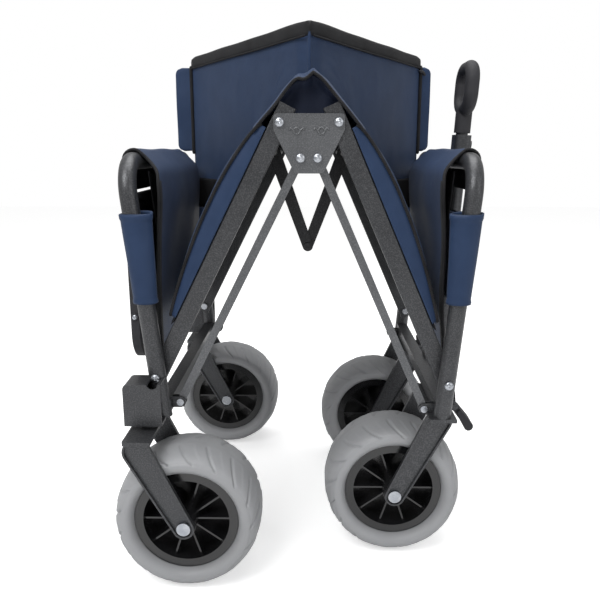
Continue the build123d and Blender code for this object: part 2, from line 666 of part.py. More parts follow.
# ---- push handle ----
handle_plane = Plane(origin=(handle_x(frame_top), 0, frame_top), x_dir=(0, 1, 0), z_dir=(handle_lean, 0, 1))


def handle_bar(z0, z1, radius):
    """Round bar along the push handle's own axis, between two heights."""
    return handle_plane.offset(z0 - frame_top) * Cylinder(radius, z1 - z0,
                                                         align=(Align.CENTER, Align.CENTER, Align.MIN))


def handle_socket():
    """Outer tube of the push handle with its collar and the two brackets that hold it."""
    bore = handle_tube_diameter / 2 + pin_clearance
    tube = handle_bar(socket_bottom, socket_top, socket_diameter / 2)
    collar = Box(collar_width, 30, collar_height, align=(Align.CENTER, Align.CENTER, Align.MIN))
    collar = fillet(collar.edges().filter_by(Axis.Z), 9)
    tube += handle_plane.offset(socket_top - frame_top) * collar
    member_z = leg_foot + cross_member_rise
    half = cross_member_size / 2
    foot_z = socket_bottom - 6
    tube += handle_bar(foot_z, socket_bottom, socket_diameter / 2 + 3)
    tube += box(rear_leg_x(member_z) + half, handle_x(foot_z) + 10, -16, 16, member_z - half, foot_z + 2)
    tube -= handle_bar(socket_bottom, socket_top + collar_height + 9, bore)
    tube -= button_bar(button_diameter / 2 + 0.1, 0.6, 20)
    return tube


def button_bar(radius, start, length):
    """Round bar that points outboard from the handle tube, halfway up the collar."""
    z = socket_top + collar_height / 2
    bar = Cylinder(radius, length, align=(Align.CENTER, Align.CENTER, Align.MIN))
    inner = handle_tube_diameter / 2 + start
    return handle_plane.offset(z - frame_top) * Pos(0, -inner, 0) * Rot(90, 0, 0) * bar


def handle_tube():
    """Inner tube that slides in the socket."""
    bar = handle_bar(socket_bottom + 4, handle_neck_top, handle_tube_diameter / 2)
    return bar - handle_bar(socket_bottom + 3, handle_neck_top - 8, handle_tube_diameter / 2 - handle_wall)


def handle_grip():
    """Moulded loop handle, an upright ring across the cart, on a short neck."""
    base = handle_neck_top - frame_top
    lower, upper = grip_radius + 2, grip_height + grip_radius
    place = handle_plane.offset(base)
    side = grip_half_width - grip_radius
    with BuildLine(Plane(origin=place.origin, x_dir=place.x_dir, z_dir=-place.y_dir)) as loop:
        FilletPolyline((0, lower), (side, lower + 8), (side, upper), (-side, upper), (-side, lower + 8),
                       radius=26, close=True)
    section = Plane(origin=loop.wire() @ 0.5, z_dir=loop.wire() % 0.5) * Circle(grip_radius)
    ring = sweep(section, path=loop.wire())
    neck = handle_bar(handle_neck_top - 26, handle_neck_top + lower, 15)
    return ring + neck - handle_bar(handle_neck_top - 30, handle_neck_top, handle_tube_diameter / 2)


# ---- foot brakes ----
def brake_pedal():
    """Rocking foot lever with a tread pad below its pin and a release lug above it."""
    x, z = rear_leg_x(leg_foot) + brake_pivot_x, leg_foot - brake_pivot_drop
    y0, y1 = -rear_wheel_y - brake_width / 2, -rear_wheel_y + brake_width / 2
    lever = cross_bar(x, z, y0, y1, 7) + tapered_plate(x, z, 6, x + 14, z - 20, 5, y0, y1)
    lever += tapered_plate(x + 12, z - 14, 5, x + 28, z - 38, 8, y0 - 4, y1 + 4)
    lever += tapered_plate(x, z, 6, x - 3, z + 20, 7, y0 + 8, y1 - 8)
    return lever - cross_bar(x, z, y0 - 1, y1 + 1, 3 + pin_clearance)


# ---- the whole cart ----
front_legs = frame_solid(front_leg_x, tube_radius)
rear_legs = frame_solid(rear_leg_x, tube_radius)

nodes["front_frame_tube"] = end_frame(front_leg_x, front_pivot_x, front_pivot_z)
nodes["front_cross_member"] = cross_member(front_leg_x, front_legs, *front_link_foot)
nodes["front_bolts"] = pivot_bolts(front_pivot_x, front_pivot_z, *front_link_foot)
nodes["caster_housing_near"] = caster_housing(front_legs)
nodes["caster_housing_far"] = far_of(nodes["caster_housing_near"])
nodes["front_end_wall"] = end_wall(front_leg_x, 1, front_wall_far, 14.4, 41)
nodes["front_leg_sleeves"] = leg_sleeves(front_leg_x)
nodes["tray_brackets"] = tray_brackets(front_legs)
nodes["front_tray"] = front_tray()

for front, word in ((True, "front"), (False, "rear")):
    nodes[word + "_rail_near"] = rail(front, -1)
    nodes[word + "_rail_far"] = rail(front, 1)
    nodes[word + "_cross_tube"] = cross_tube(front)
    low = rail_height / 2 + seam_gap
    nodes[word + "_floor_board"] = rail_piece(front, board_start, board_end, -board_half_width, board_half_width,
                                              low, low + board_thickness)
    low += board_thickness + seam_gap
    y0, y1 = (folded_wall_inner, board_half_width) if front else (-board_half_width, -folded_wall_inner)
    nodes["near_wall_" + word] = rail_piece(front, folded_wall_start, folded_wall_end, y0, y1, low,
                                            low + folded_wall_thickness)
    sign = -1 if front else 1
    foot = front_link_foot if front else rear_link_foot
    nodes[word + "_links"] = link(sign * link_x, link_z, *foot, -1) + link(sign * link_x, link_z, *foot, 1)
    nodes["far_strip_" + word] = far_strip(front)
    nodes["far_wall_" + word] = far_wall(front)
    nodes["far_corner_" + word] = far_corner(front)

nodes["gusset_plate_near"] = gusset_plate()
nodes["gusset_plate_far"] = far_of(nodes["gusset_plate_near"])
nodes["plate_rivets"] = plate_rivets()

nodes["brace_arm_front"] = brace_arm(front_hold, -1)
nodes["brace_arm_rear"] = brace_arm(rear_hold, 1)

nodes["rear_frame_tube"] = end_frame(rear_leg_x, rear_pivot_x, rear_pivot_z)
nodes["rear_cross_member"] = cross_member(rear_leg_x, rear_legs, *rear_link_foot)
nodes["rear_bolts"] = pivot_bolts(rear_pivot_x, rear_pivot_z, *rear_link_foot)
cut_x = handle_x(frame_top) - socket_diameter / 2 - 2
nodes["rear_end_wall"] = end_wall(rear_leg_x, -1, rear_wall_far, 22, 41) - box(
    cut_x, cut_x + 60, -collar_width / 2 - 2, collar_width / 2 + 2, frame_top - 90, frame_top + 60)
nodes["rear_leg_sleeves"] = leg_sleeves(rear_leg_x)
nodes["rear_pocket"] = rear_pocket()
nodes["handle_socket"] = handle_socket()
nodes["handle_tube"] = handle_tube()
nodes["handle_grip"] = handle_grip()
nodes["release_button"] = button_bar(button_diameter / 2, 0.9 + button_travel, 4)

for side, word in ((-1, "near"), (1, "far")):
    nodes["caster_fork_" + word] = caster_fork(side * stem_y)
    nodes["caster_axle_" + word] = axle(front_axle_x, side * stem_y)
    nodes["front_tyre_" + word] = tyre(front_axle_x, side * stem_y)
    nodes["front_rim_" + word] = rim(front_axle_x, side * stem_y)
    nodes["rear_tyre_" + word] = tyre(rear_axle_x, side * rear_wheel_y)
    nodes["rear_rim_" + word] = rim(rear_axle_x, side * rear_wheel_y)
nodes["rear_axles"] = axle(rear_axle_x, -rear_wheel_y) + axle(rear_axle_x, rear_wheel_y)
nodes["rear_fork_near"] = rear_fork()
nodes["rear_fork_far"] = far_of(nodes["rear_fork_near"])
nodes["brake_pedal_near"] = brake_pedal()
nodes["brake_pedal_far"] = far_of(nodes["brake_pedal_near"])

overall = Compound(children=[Part() + shape for shape in nodes.values()]).bounding_box()
centre_shift = -(overall.min.X + overall.max.X) / 2

os.makedirs("parts", exist_ok=True)
for name, shape in nodes.items():
    solids = (Pos(centre_shift, 0, 0) * shape).solids()
    kept = solids[0] if len(solids) == 1 else Compound(children=list(solids))
    export_step(kept, f"parts/{name}.step")
print(len(nodes), "nodes, size", overall.size, "shift", round(centre_shift, 3))
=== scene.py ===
"""Folding beach cart: cloth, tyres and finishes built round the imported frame, in metres."""

from __future__ import annotations

import json
import logging
import math
from dataclasses import dataclass
from enum import Enum

import bmesh
import bpy
import numpy as np
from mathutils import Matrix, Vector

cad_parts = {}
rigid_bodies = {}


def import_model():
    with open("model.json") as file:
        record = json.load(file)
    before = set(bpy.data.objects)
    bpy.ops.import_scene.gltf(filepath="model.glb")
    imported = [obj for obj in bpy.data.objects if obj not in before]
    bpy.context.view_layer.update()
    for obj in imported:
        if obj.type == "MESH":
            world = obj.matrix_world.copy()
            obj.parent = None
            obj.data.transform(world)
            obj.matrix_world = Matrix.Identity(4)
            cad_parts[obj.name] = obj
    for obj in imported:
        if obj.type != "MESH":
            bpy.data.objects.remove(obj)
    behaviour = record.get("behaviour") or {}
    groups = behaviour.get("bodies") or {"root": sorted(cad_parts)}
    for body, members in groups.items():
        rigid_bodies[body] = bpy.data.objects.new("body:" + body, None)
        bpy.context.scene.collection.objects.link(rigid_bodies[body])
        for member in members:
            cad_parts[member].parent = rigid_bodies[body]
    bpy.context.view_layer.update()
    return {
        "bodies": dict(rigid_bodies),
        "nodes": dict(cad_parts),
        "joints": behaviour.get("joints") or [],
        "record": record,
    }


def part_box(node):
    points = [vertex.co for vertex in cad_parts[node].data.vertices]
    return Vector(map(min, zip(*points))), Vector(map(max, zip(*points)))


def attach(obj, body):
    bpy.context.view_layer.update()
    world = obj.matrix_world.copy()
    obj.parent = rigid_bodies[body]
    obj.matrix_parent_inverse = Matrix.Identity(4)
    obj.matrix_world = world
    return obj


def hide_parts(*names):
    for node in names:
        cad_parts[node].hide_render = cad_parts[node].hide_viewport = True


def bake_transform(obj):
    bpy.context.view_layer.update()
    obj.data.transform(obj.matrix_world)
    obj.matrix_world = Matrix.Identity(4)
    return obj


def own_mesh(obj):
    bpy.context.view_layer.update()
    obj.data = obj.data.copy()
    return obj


LOG = logging.getLogger("beach_cart")
Colour = tuple[float, float, float]
Point = tuple[float, float, float]


class Named(Enum):
    """A choice whose name is spelt in lower case in the frame's nodes and bodies."""

    @property
    def word(self) -> str:
        """The name as the frame spells it."""
        return self.name.lower()


class End(Named):
    """Which end of the cart a piece belongs to, as the sign that points away from the middle."""

    FRONT = -1
    REAR = 1


class Side(Named):
    """Which long side a piece stands on, as the sign of its Y."""

    NEAR = -1
    FAR = 1


# ---------------------------------------------------------------- small sums
def ramp(start: float, end: float, value: np.ndarray) -> np.ndarray:
    """Smooth step: 0 before start, 1 after end, and 3t^2 - 2t^3 between them."""
    t = np.clip((value - start) / (end - start), 0.0, 1.0)
    return t * t * (3.0 - 2.0 * t)


def points_of(*parts: np.ndarray | float) -> np.ndarray:
    """Stacks coordinates that broadcast together into points, along a new last axis."""
    return np.stack(np.broadcast_arrays(*parts), axis=-1)


def unit(vectors: np.ndarray) -> np.ndarray:
    """Scales the last axis to length one."""
    return vectors / np.maximum(np.linalg.norm(vectors, axis=-1, keepdims=True), 1e-12)


def along(path: np.ndarray, count: int) -> np.ndarray:
    """Spreads points evenly along a polyline by its arc length.

    Args:
        path: Corner points, one a row.
        count: How many points come back.

    Returns:
        The evenly spaced points.
    """
    path = np.asarray(path, float)
    length = np.concatenate([[0.0], np.cumsum(np.linalg.norm(np.diff(path, axis=0), axis=1))])
    spot = np.linspace(0.0, length[-1], count)
    return np.stack([np.interp(spot, length, path[:, k]) for k in range(path.shape[1])], axis=1)


def rounded(corners: np.ndarray, count: int, passes: int = 3) -> np.ndarray:
    """Cuts a polyline's corners by Chaikin's rule (each run keeps its quarter and three-quarter points).

    Args:
        corners: Corner points, one a row.
        count: How many points come back, evenly spaced.
        passes: How often the corners are cut.

    Returns:
        The rounded line with the same two ends.
    """
    line = np.asarray(corners, float)
    for _ in range(passes):
        a, b = line[:-1], line[1:]
        cut = np.stack([0.75 * a + 0.25 * b, 0.25 * a + 0.75 * b], axis=1).reshape(-1, line.shape[1])
        line = np.concatenate([line[:1], cut, line[-1:]])
    return along(line, count)


# ---------------------------------------------------------------- meshes from grids
def grid_faces(rows: int, cols: int, wrap_rows: bool = False, wrap_cols: bool = False) -> np.ndarray:
    """Quads of a grid whose vertex (i, j) is number i * cols + j.

    Args:
        rows: Vertices along the first axis.
        cols: Vertices along the second axis.
        wrap_rows: Joins the last row to the first.
        wrap_cols: Joins the last column to the first.

    Returns:
        Four vertex numbers a face.
    """
    i = np.arange(rows if wrap_rows else rows - 1)[:, None]
    j = np.arange(cols if wrap_cols else cols - 1)[None, :]
    i2, j2 = (i + 1) % rows, (j + 1) % cols
    quads = np.stack([i * cols + j, i * cols + j2, i2 * cols + j2, i2 * cols + j], axis=-1)
    return quads.reshape(-1, 4)


def shell_faces(rows: int, cols: int) -> np.ndarray:
    """Quads of two equal grids, the second turned over, with a rim that joins their edges."""
    front, number = grid_faces(rows, cols), np.arange(rows * cols).reshape(rows, cols)
    edge = np.concatenate([number[0, :], number[1:, -1], number[-1, -2::-1], number[-2:0:-1, 0]])
    after = np.roll(edge, -1)
    back = front[:, ::-1] + number.size
    return np.concatenate([front, back, np.stack([edge, after, after + number.size, edge + number.size], axis=1)])


def make_piece(name: str, points: np.ndarray, faces: np.ndarray, flat_uv: np.ndarray | None = None,
               smooth: bool = True) -> bpy.types.Object:
    """Puts a closed surface into the scene with welded poles and faces that point outwards.

    Args:
        name: The piece's name.
        points: Vertex places, shape (n, 3).
        faces: Quads, shape (m, 4).
        flat_uv: One UV pair for each vertex.
        smooth: Shades the faces smooth.

    Returns:
        The new object, at the origin.
    """
    mesh = bpy.data.meshes.new(name)
    points = np.ascontiguousarray(points.reshape(-1, 3), dtype=np.float32)
    mesh.vertices.add(len(points))
    mesh.vertices.foreach_set("co", points.ravel())
    mesh.loops.add(faces.size)
    mesh.loops.foreach_set("vertex_index", faces.astype(np.int32).ravel())
    mesh.polygons.add(len(faces))
    mesh.polygons.foreach_set("loop_start", np.arange(0, faces.size, 4, dtype=np.int32))
    mesh.polygons.foreach_set("use_smooth", np.full(len(faces), smooth))
    mesh.update(calc_edges=True)
    if flat_uv is not None:
        layer = mesh.uv_layers.new(name="cloth")
        layer.data.foreach_set("uv", flat_uv.reshape(-1, 2)[faces.ravel()].astype(np.float32).ravel())
    work = bmesh.new()
    work.from_mesh(mesh)
    bmesh.ops.remove_doubles(work, verts=work.verts, dist=2e-6)
    bmesh.ops.recalc_face_normals(work, faces=work.faces)
    work.to_mesh(mesh)
    work.free()
    piece = bpy.data.objects.new(name, mesh)
    bpy.context.scene.collection.objects.link(piece)
    return piece


def sheet_normals(sheet: np.ndarray) -> np.ndarray:
    """Unit normals of a grid: the cross product of its two gradients."""
    return unit(np.cross(np.gradient(sheet, axis=0), np.gradient(sheet, axis=1)))


def sheet_uv(sheet: np.ndarray) -> np.ndarray:
    """Lays a grid flat: u and v are the lengths in metres along its middle row and column."""
    rows, cols = sheet.shape[:2]
    down = np.linalg.norm(np.diff(sheet[:, cols // 2], axis=0), axis=1)
    across = np.linalg.norm(np.diff(sheet[rows // 2], axis=0), axis=1)
    u = np.concatenate([[0.0], np.cumsum(down)])
    v = np.concatenate([[0.0], np.cumsum(across)])
    return points_of(u[:, None], v[None, :])


def cloth_shell(name: str, sheet: np.ndarray, thick: float | np.ndarray) -> bpy.types.Object:
    """Closed cloth of a given thickness: the grid moved half a thickness along its normals both ways.

    Args:
        name: The piece's name.
        sheet: Middle surface, shape (rows, cols, 3).
        thick: Thickness in metres, one number or one for each vertex.

    Returns:
        The piece, with UVs in metres.
    """
    rows, cols = sheet.shape[:2]
    half = np.broadcast_to(np.asarray(thick, float), (rows, cols))[..., None] / 2
    normal = sheet_normals(sheet)
    points = np.concatenate([(sheet + normal * half).reshape(-1, 3), (sheet - normal * half).reshape(-1, 3)])
    uv = sheet_uv(sheet).reshape(-1, 2)
    return make_piece(name, points, shell_faces(rows, cols), np.concatenate([uv, uv]))


def tube(name: str, path: np.ndarray, radius: float | np.ndarray, up: Point = (0.0, 0.0, 1.0), sides: int = 12,
         flatten: float = 1.0, closed: bool = False) -> bpy.types.Object:
    """Round or oval bar along a path, with domed ends.

    Each ring stands square to the path's tangent, turned so that its first axis is nearest to up. An
    open bar's ends shrink to a point over two extra rings.

    Args:
        name: The piece's name.
        path: Points, shape (n, 3).
        radius: Radius in metres, one number or one for each point.
        up: The direction that fixes the ring's turn.
        sides: Points round each ring.
        flatten: Share of the radius kept along the ring's first axis.
        closed: Joins the last ring to the first.

    Returns:
        The piece.
    """
    path = np.asarray(path, float)
    size = np.broadcast_to(np.asarray(radius, float), (len(path),)).copy()
    if closed:
        tangent = unit(np.roll(path, -1, axis=0) - np.roll(path, 1, axis=0))
    else:
        tangent = unit(np.gradient(path, axis=0))
        dome = np.array([0.0, 0.7, 1.0])
        reach = size[0] * np.array([[-1.0], [-0.7], [0.0]])
        start = path[0] + tangent[0] * reach
        stop = path[-1] - tangent[-1] * reach[::-1] * size[-1] / size[0]
        path = np.concatenate([start, path[1:-1], stop])
        tangent = np.concatenate([np.repeat(tangent[:1], 3, 0), tangent[1:-1], np.repeat(tangent[-1:], 3, 0)])
        size = np.concatenate([size[0] * dome, size[1:-1], size[-1] * dome[::-1]])
    first = unit(np.asarray(up, float) - tangent * (tangent @ np.asarray(up, float))[:, None])
    second = np.cross(tangent, first)
    turn = np.linspace(0.0, 2 * np.pi, sides, endpoint=False)
    ring = first[:, None] * (np.cos(turn) * flatten)[None, :, None] + second[:, None] * np.sin(turn)[None, :, None]
    points = path[:, None] + ring * size[:, None, None]
    length = np.concatenate([[0.0], np.cumsum(np.linalg.norm(np.diff(path, axis=0), axis=1))])
    uv = points_of(length[:, None], (turn * float(np.max(size)))[None, :])
    return make_piece(name, points, grid_faces(len(path), sides, closed, True), uv)


def turned(name: str, profile: np.ndarray, centre: Point, axis: Point, steps: int = 32) -> bpy.types.Object:
    """Turned piece: a profile of (distance along the axis, radius) swung round the axis.

    Args:
        name: The piece's name.
        profile: Points from one pole to the other, shape (n, 2), with radius 0 at both ends.
        centre: The point at distance 0.
        axis: Direction of the axis.
        steps: Points round the axis.

    Returns:
        The piece.
    """
    line = unit(np.asarray(axis, float))
    side = unit(np.cross(line, (0.31, 0.52, 0.79)))
    other = np.cross(line, side)
    turn = np.linspace(0.0, 2 * np.pi, steps, endpoint=False)
    ring = side * np.cos(turn)[:, None] + other * np.sin(turn)[:, None]
    profile = np.asarray(profile, float)
    points = np.asarray(centre) + profile[:, 0, None, None] * line + profile[:, 1, None, None] * ring
    return make_piece(name, points, grid_faces(len(profile), steps, False, True))


# ---------------------------------------------------------------- shader parts
class Board:
    """Short hand for building one node tree."""

    def __init__(self, tree: bpy.types.NodeTree) -> None:
        """Keeps the tree that the nodes go into."""
        self.tree = tree

    def add(self, kind: str, feeds: dict[str | int, object] | None = None, **settings: object) -> bpy.types.Node:
        """Adds a node.

        Args:
            kind: The node's type name, without ShaderNode.
            feeds: For each input, a socket to link or a value to set.
            settings: Attributes set on the node.

        Returns:
            The node.
        """
        node = self.tree.nodes.new("ShaderNode" + kind)
        for key, value in settings.items():
            setattr(node, key, value)
        for key, value in (feeds or {}).items():
            if isinstance(value, bpy.types.NodeSocket):
                self.tree.links.new(value, node.inputs[key])
            else:
                node.inputs[key].default_value = value
        return node

    def maths(self, operation: str, *values: object) -> bpy.types.NodeSocket:
        """Adds a Math node and returns its output."""
        return self.add("Math", dict(enumerate(values)), operation=operation).outputs[0]

    def mix(self, share: object, first: object, second: object, blend: str = "MIX") -> bpy.types.NodeSocket:
        """Mixes two colours and returns the result."""
        node = self.add("Mix", {0: share, 6: first, 7: second}, data_type="RGBA", blend_type=blend)
        return node.outputs[2]

    def steps(self, value: object, stops: list[tuple[float, float]]) -> bpy.types.NodeSocket:
        """Runs a value through a grey ramp given as (place, brightness) stops."""
        node = self.add("ValToRGB", {0: value})
        ramp_stops = node.color_ramp.elements
        for number, (place, grey) in enumerate(stops):
            stop = ramp_stops[number] if number < 2 else ramp_stops.new(place)
            stop.position = place
            stop.color = (grey, grey, grey, 1.0)
        return node.outputs[0]


def new_group(name: str, inputs: dict[str, float | None], outputs: list[str]) -> tuple[Board, bpy.types.Node,
                                                                                      bpy.types.Node]:
    """Starts a shader node group.

    Args:
        name: The group's name.
        inputs: Each input's default, or None for a vector.
        outputs: Names of the outputs, all plain values.

    Returns:
        The group's board, its input node and its output node.
    """
    tree = bpy.data.node_groups.new(name, "ShaderNodeTree")
    for label, default in inputs.items():
        kind = "NodeSocketVector" if default is None else "NodeSocketFloat"
        socket = tree.interface.new_socket(label, in_out="INPUT", socket_type=kind)
        if default is not None:
            socket.default_value = default
    for label in outputs:
        tree.interface.new_socket(label, in_out="OUTPUT", socket_type="NodeSocketFloat")
    return Board(tree), tree.nodes.new("NodeGroupInput"), tree.nodes.new("NodeGroupOutput")


def weave_group() -> bpy.types.NodeTree:
    """Plain weave: two sets of yarns, each a raised sine, over and under by turns, with slubs."""
    board, head, tail = new_group("plain_weave", {"Vector": None, "Yarn": 0.0011}, ["Height", "Tone", "Folds"])
    split = board.add("SeparateXYZ", {0: head.outputs["Vector"]})
    turns = board.maths("DIVIDE", math.pi, head.outputs["Yarn"])
    warp = board.maths("SINE", board.maths("MULTIPLY", split.outputs[0], turns))
    weft = board.maths("SINE", board.maths("MULTIPLY", split.outputs[1], turns))
    over = board.maths("MULTIPLY", warp, weft)
    slub = board.add("TexNoise", {"Vector": head.outputs["Vector"], "Scale": 900.0, "Detail": 2.0})
    height = board.maths("MULTIPLY_ADD", over, 0.5, slub.outputs[0])
    mottle = board.add("TexNoise", {"Vector": head.outputs["Vector"], "Scale": 26.0, "Detail": 4.0})
    tone = board.maths("MULTIPLY_ADD", over, 0.12, mottle.outputs[0])
    folds = board.add("TexNoise", {"Vector": head.outputs["Vector"], "Scale": 9.0, "Detail": 2.0, "Distortion": 0.6})
    for label, socket in (("Height", height), ("Tone", tone), ("Folds", folds.outputs[0])):
        board.tree.links.new(socket, tail.inputs[label])
    return board.tree


def hammer_group() -> bpy.types.NodeTree:
    """Hammertone: rounded cells with fine veins between them, and a pale speckle."""
    board, head, tail = new_group("hammertone", {"Vector": None, "Cells": 420.0}, ["Height", "Speckle", "Dust"])
    warped = board.add("TexNoise", {"Vector": head.outputs["Vector"], "Scale": 300.0, "Detail": 2.0})
    moved = board.add("VectorMath", {0: warped.outputs["Color"], 1: (0.0022, 0.0022, 0.0022)}, operation="MULTIPLY")
    place = board.add("VectorMath", {0: head.outputs["Vector"], 1: moved.outputs[0]}, operation="ADD")
    cells = board.add("TexVoronoi", {"Vector": place.outputs[0], "Scale": head.outputs["Cells"]},
                      feature="SMOOTH_F1")
    height = board.steps(cells.outputs["Distance"], [(0.1, 1.0), (0.75, 0.0)])
    speckle = board.add("TexNoise", {"Vector": head.outputs["Vector"], "Scale": 520.0, "Detail": 3.0})
    pale = board.steps(speckle.outputs[0], [(0.45, 0.0), (0.72, 1.0)])
    dust = board.add("TexNoise", {"Vector": head.outputs["Vector"], "Scale": 14.0, "Detail": 5.0})
    for label, socket in (("Height", height), ("Speckle", pale), ("Dust", dust.outputs[0])):
        board.tree.links.new(socket, tail.inputs[label])
    return board.tree


def grain_group() -> bpy.types.NodeTree:
    """Moulded grain: fine pits over slow patches, for plastic, rubber and plated steel."""
    board, head, tail = new_group("moulded_grain", {"Vector": None, "Fine": 700.0, "Slow": 18.0}, ["Pits", "Patch"])
    pits = board.add("TexVoronoi", {"Vector": head.outputs["Vector"], "Scale": head.outputs["Fine"]})
    patch = board.add("TexNoise", {"Vector": head.outputs["Vector"], "Scale": head.outputs["Slow"], "Detail": 5.0})
    board.tree.links.new(pits.outputs["Distance"], tail.inputs["Pits"])
    board.tree.links.new(patch.outputs[0], tail.inputs["Patch"])
    return board.tree


@dataclass(frozen=True)
class Groups:
    """The node groups that the finishes share."""

    weave: bpy.types.NodeTree
    hammer: bpy.types.NodeTree
    grain: bpy.types.NodeTree


@dataclass(frozen=True)
class Finish:
    """One finish: a name, a colour and how it shines. Its kinds build their own nodes."""

    name: str
    colour: Colour
    second: Colour
    roughness: float = 0.5

    def start(self) -> tuple[Board, bpy.types.Node, bpy.types.Node]:
        """Makes the material with its Principled BSDF and texture coordinates.

        Returns:
            The board, the shader node and the coordinate node.
        """
        material = bpy.data.materials.new(self.name)
        material.use_nodes = True
        board = Board(material.node_tree)
        shader = material.node_tree.nodes["Principled BSDF"]
        return board, shader, board.add("TexCoord")

    def colour_between(self, board: Board, shader: bpy.types.Node, share: object) -> None:
        """Feeds the base colour with a mix of the finish's two colours."""
        mixed = board.mix(share, (*self.colour, 1.0), (*self.second, 1.0))
        board.tree.links.new(mixed, shader.inputs["Base Color"])

    def rough_between(self, board: Board, shader: bpy.types.Node, share: object, spread: float) -> None:
        """Feeds the roughness: the finish's own, plus or minus half a spread."""
        value = board.maths("MULTIPLY_ADD", share, spread, self.roughness - spread / 2)
        board.tree.links.new(value, shader.inputs["Roughness"])

    def bump(self, board: Board, shader: bpy.types.Node, layers: list[tuple[object, float]]) -> None:
        """Chains one Bump node for each (height, depth in metres) layer into the normal."""
        normal = None
        for height, depth in layers:
            feeds = {"Height": height, "Distance": depth, "Strength": 1.0}
            if normal is not None:
                feeds["Normal"] = normal
            normal = board.add("Bump", feeds).outputs[0]
        board.tree.links.new(normal, shader.inputs["Normal"])


@dataclass(frozen=True)
class ClothFinish(Finish):
    """Coated woven cloth, patterned on the piece's own flat UV map."""

    yarn: float = 0.0011
    relief: float = 0.00012
    crumple: float = 0.0025
    sheen: float = 0.25

    def build(self, groups: Groups) -> bpy.types.Material:
        """Builds the cloth material."""
        board, shader, place = self.start()
        weave = board.add("Group", node_tree=groups.weave)
        board.tree.links.new(place.outputs["UV"], weave.inputs["Vector"])
        weave.inputs["Yarn"].default_value = self.yarn
        self.colour_between(board, shader, board.steps(weave.outputs["Tone"], [(0.3, 0.0), (0.72, 1.0)]))
        self.rough_between(board, shader, weave.outputs["Folds"], 0.12)
        self.bump(board, shader, [(weave.outputs["Height"], self.relief), (weave.outputs["Folds"], self.crumple)])
        shader.inputs["Sheen Weight"].default_value = self.sheen
        shader.inputs["Sheen Roughness"].default_value = 0.45
        shader.inputs["Specular IOR Level"].default_value = 0.2
        return bpy.data.materials[self.name]


@dataclass(frozen=True)
class HammerFinish(Finish):
    """Hammertone stove enamel on steel."""

    metal: float = 0.55
    depth: float = 0.00022

    def build(self, groups: Groups) -> bpy.types.Material:
        """Builds the enamel material."""
        board, shader, place = self.start()
        hammer = board.add("Group", node_tree=groups.hammer)
        board.tree.links.new(place.outputs["Object"], hammer.inputs["Vector"])
        share = board.maths("MULTIPLY_ADD", hammer.outputs["Speckle"], 0.55,
                            board.maths("MULTIPLY", hammer.outputs["Dust"], 0.35))
        self.colour_between(board, shader, share)
        self.rough_between(board, shader, hammer.outputs["Dust"], 0.16)
        self.bump(board, shader, [(hammer.outputs["Height"], self.depth)])
        shader.inputs["Metallic"].default_value = self.metal
        shader.inputs["Coat Weight"].default_value = 0.15
        shader.inputs["Coat Roughness"].default_value = 0.25
        return bpy.data.materials[self.name]


@dataclass(frozen=True)
class MouldedFinish(Finish):
    """Moulded plastic, rubber or plated metal with a fine grain."""

    fine: float = 700.0
    slow: float = 18.0
    depth: float = 0.0001
    metal: float = 0.0
    coat: float = 0.0
    spread: float = 0.14

    def build(self, groups: Groups) -> bpy.types.Material:
        """Builds the moulded material."""
        board, shader, place = self.start()
        grain = board.add("Group", node_tree=groups.grain)
        board.tree.links.new(place.outputs["Object"], grain.inputs["Vector"])
        grain.inputs["Fine"].default_value = self.fine
        grain.inputs["Slow"].default_value = self.slow
        self.colour_between(board, shader, board.steps(grain.outputs["Patch"], [(0.3, 0.0), (0.75, 1.0)]))
        self.rough_between(board, shader, grain.outputs["Patch"], self.spread)
        self.bump(board, shader, [(grain.outputs["Pits"], self.depth)])
        shader.inputs["Metallic"].default_value = self.metal
        shader.inputs["Coat Weight"].default_value = self.coat
        shader.inputs["Coat Roughness"].default_value = 0.12
        return bpy.data.materials[self.name]


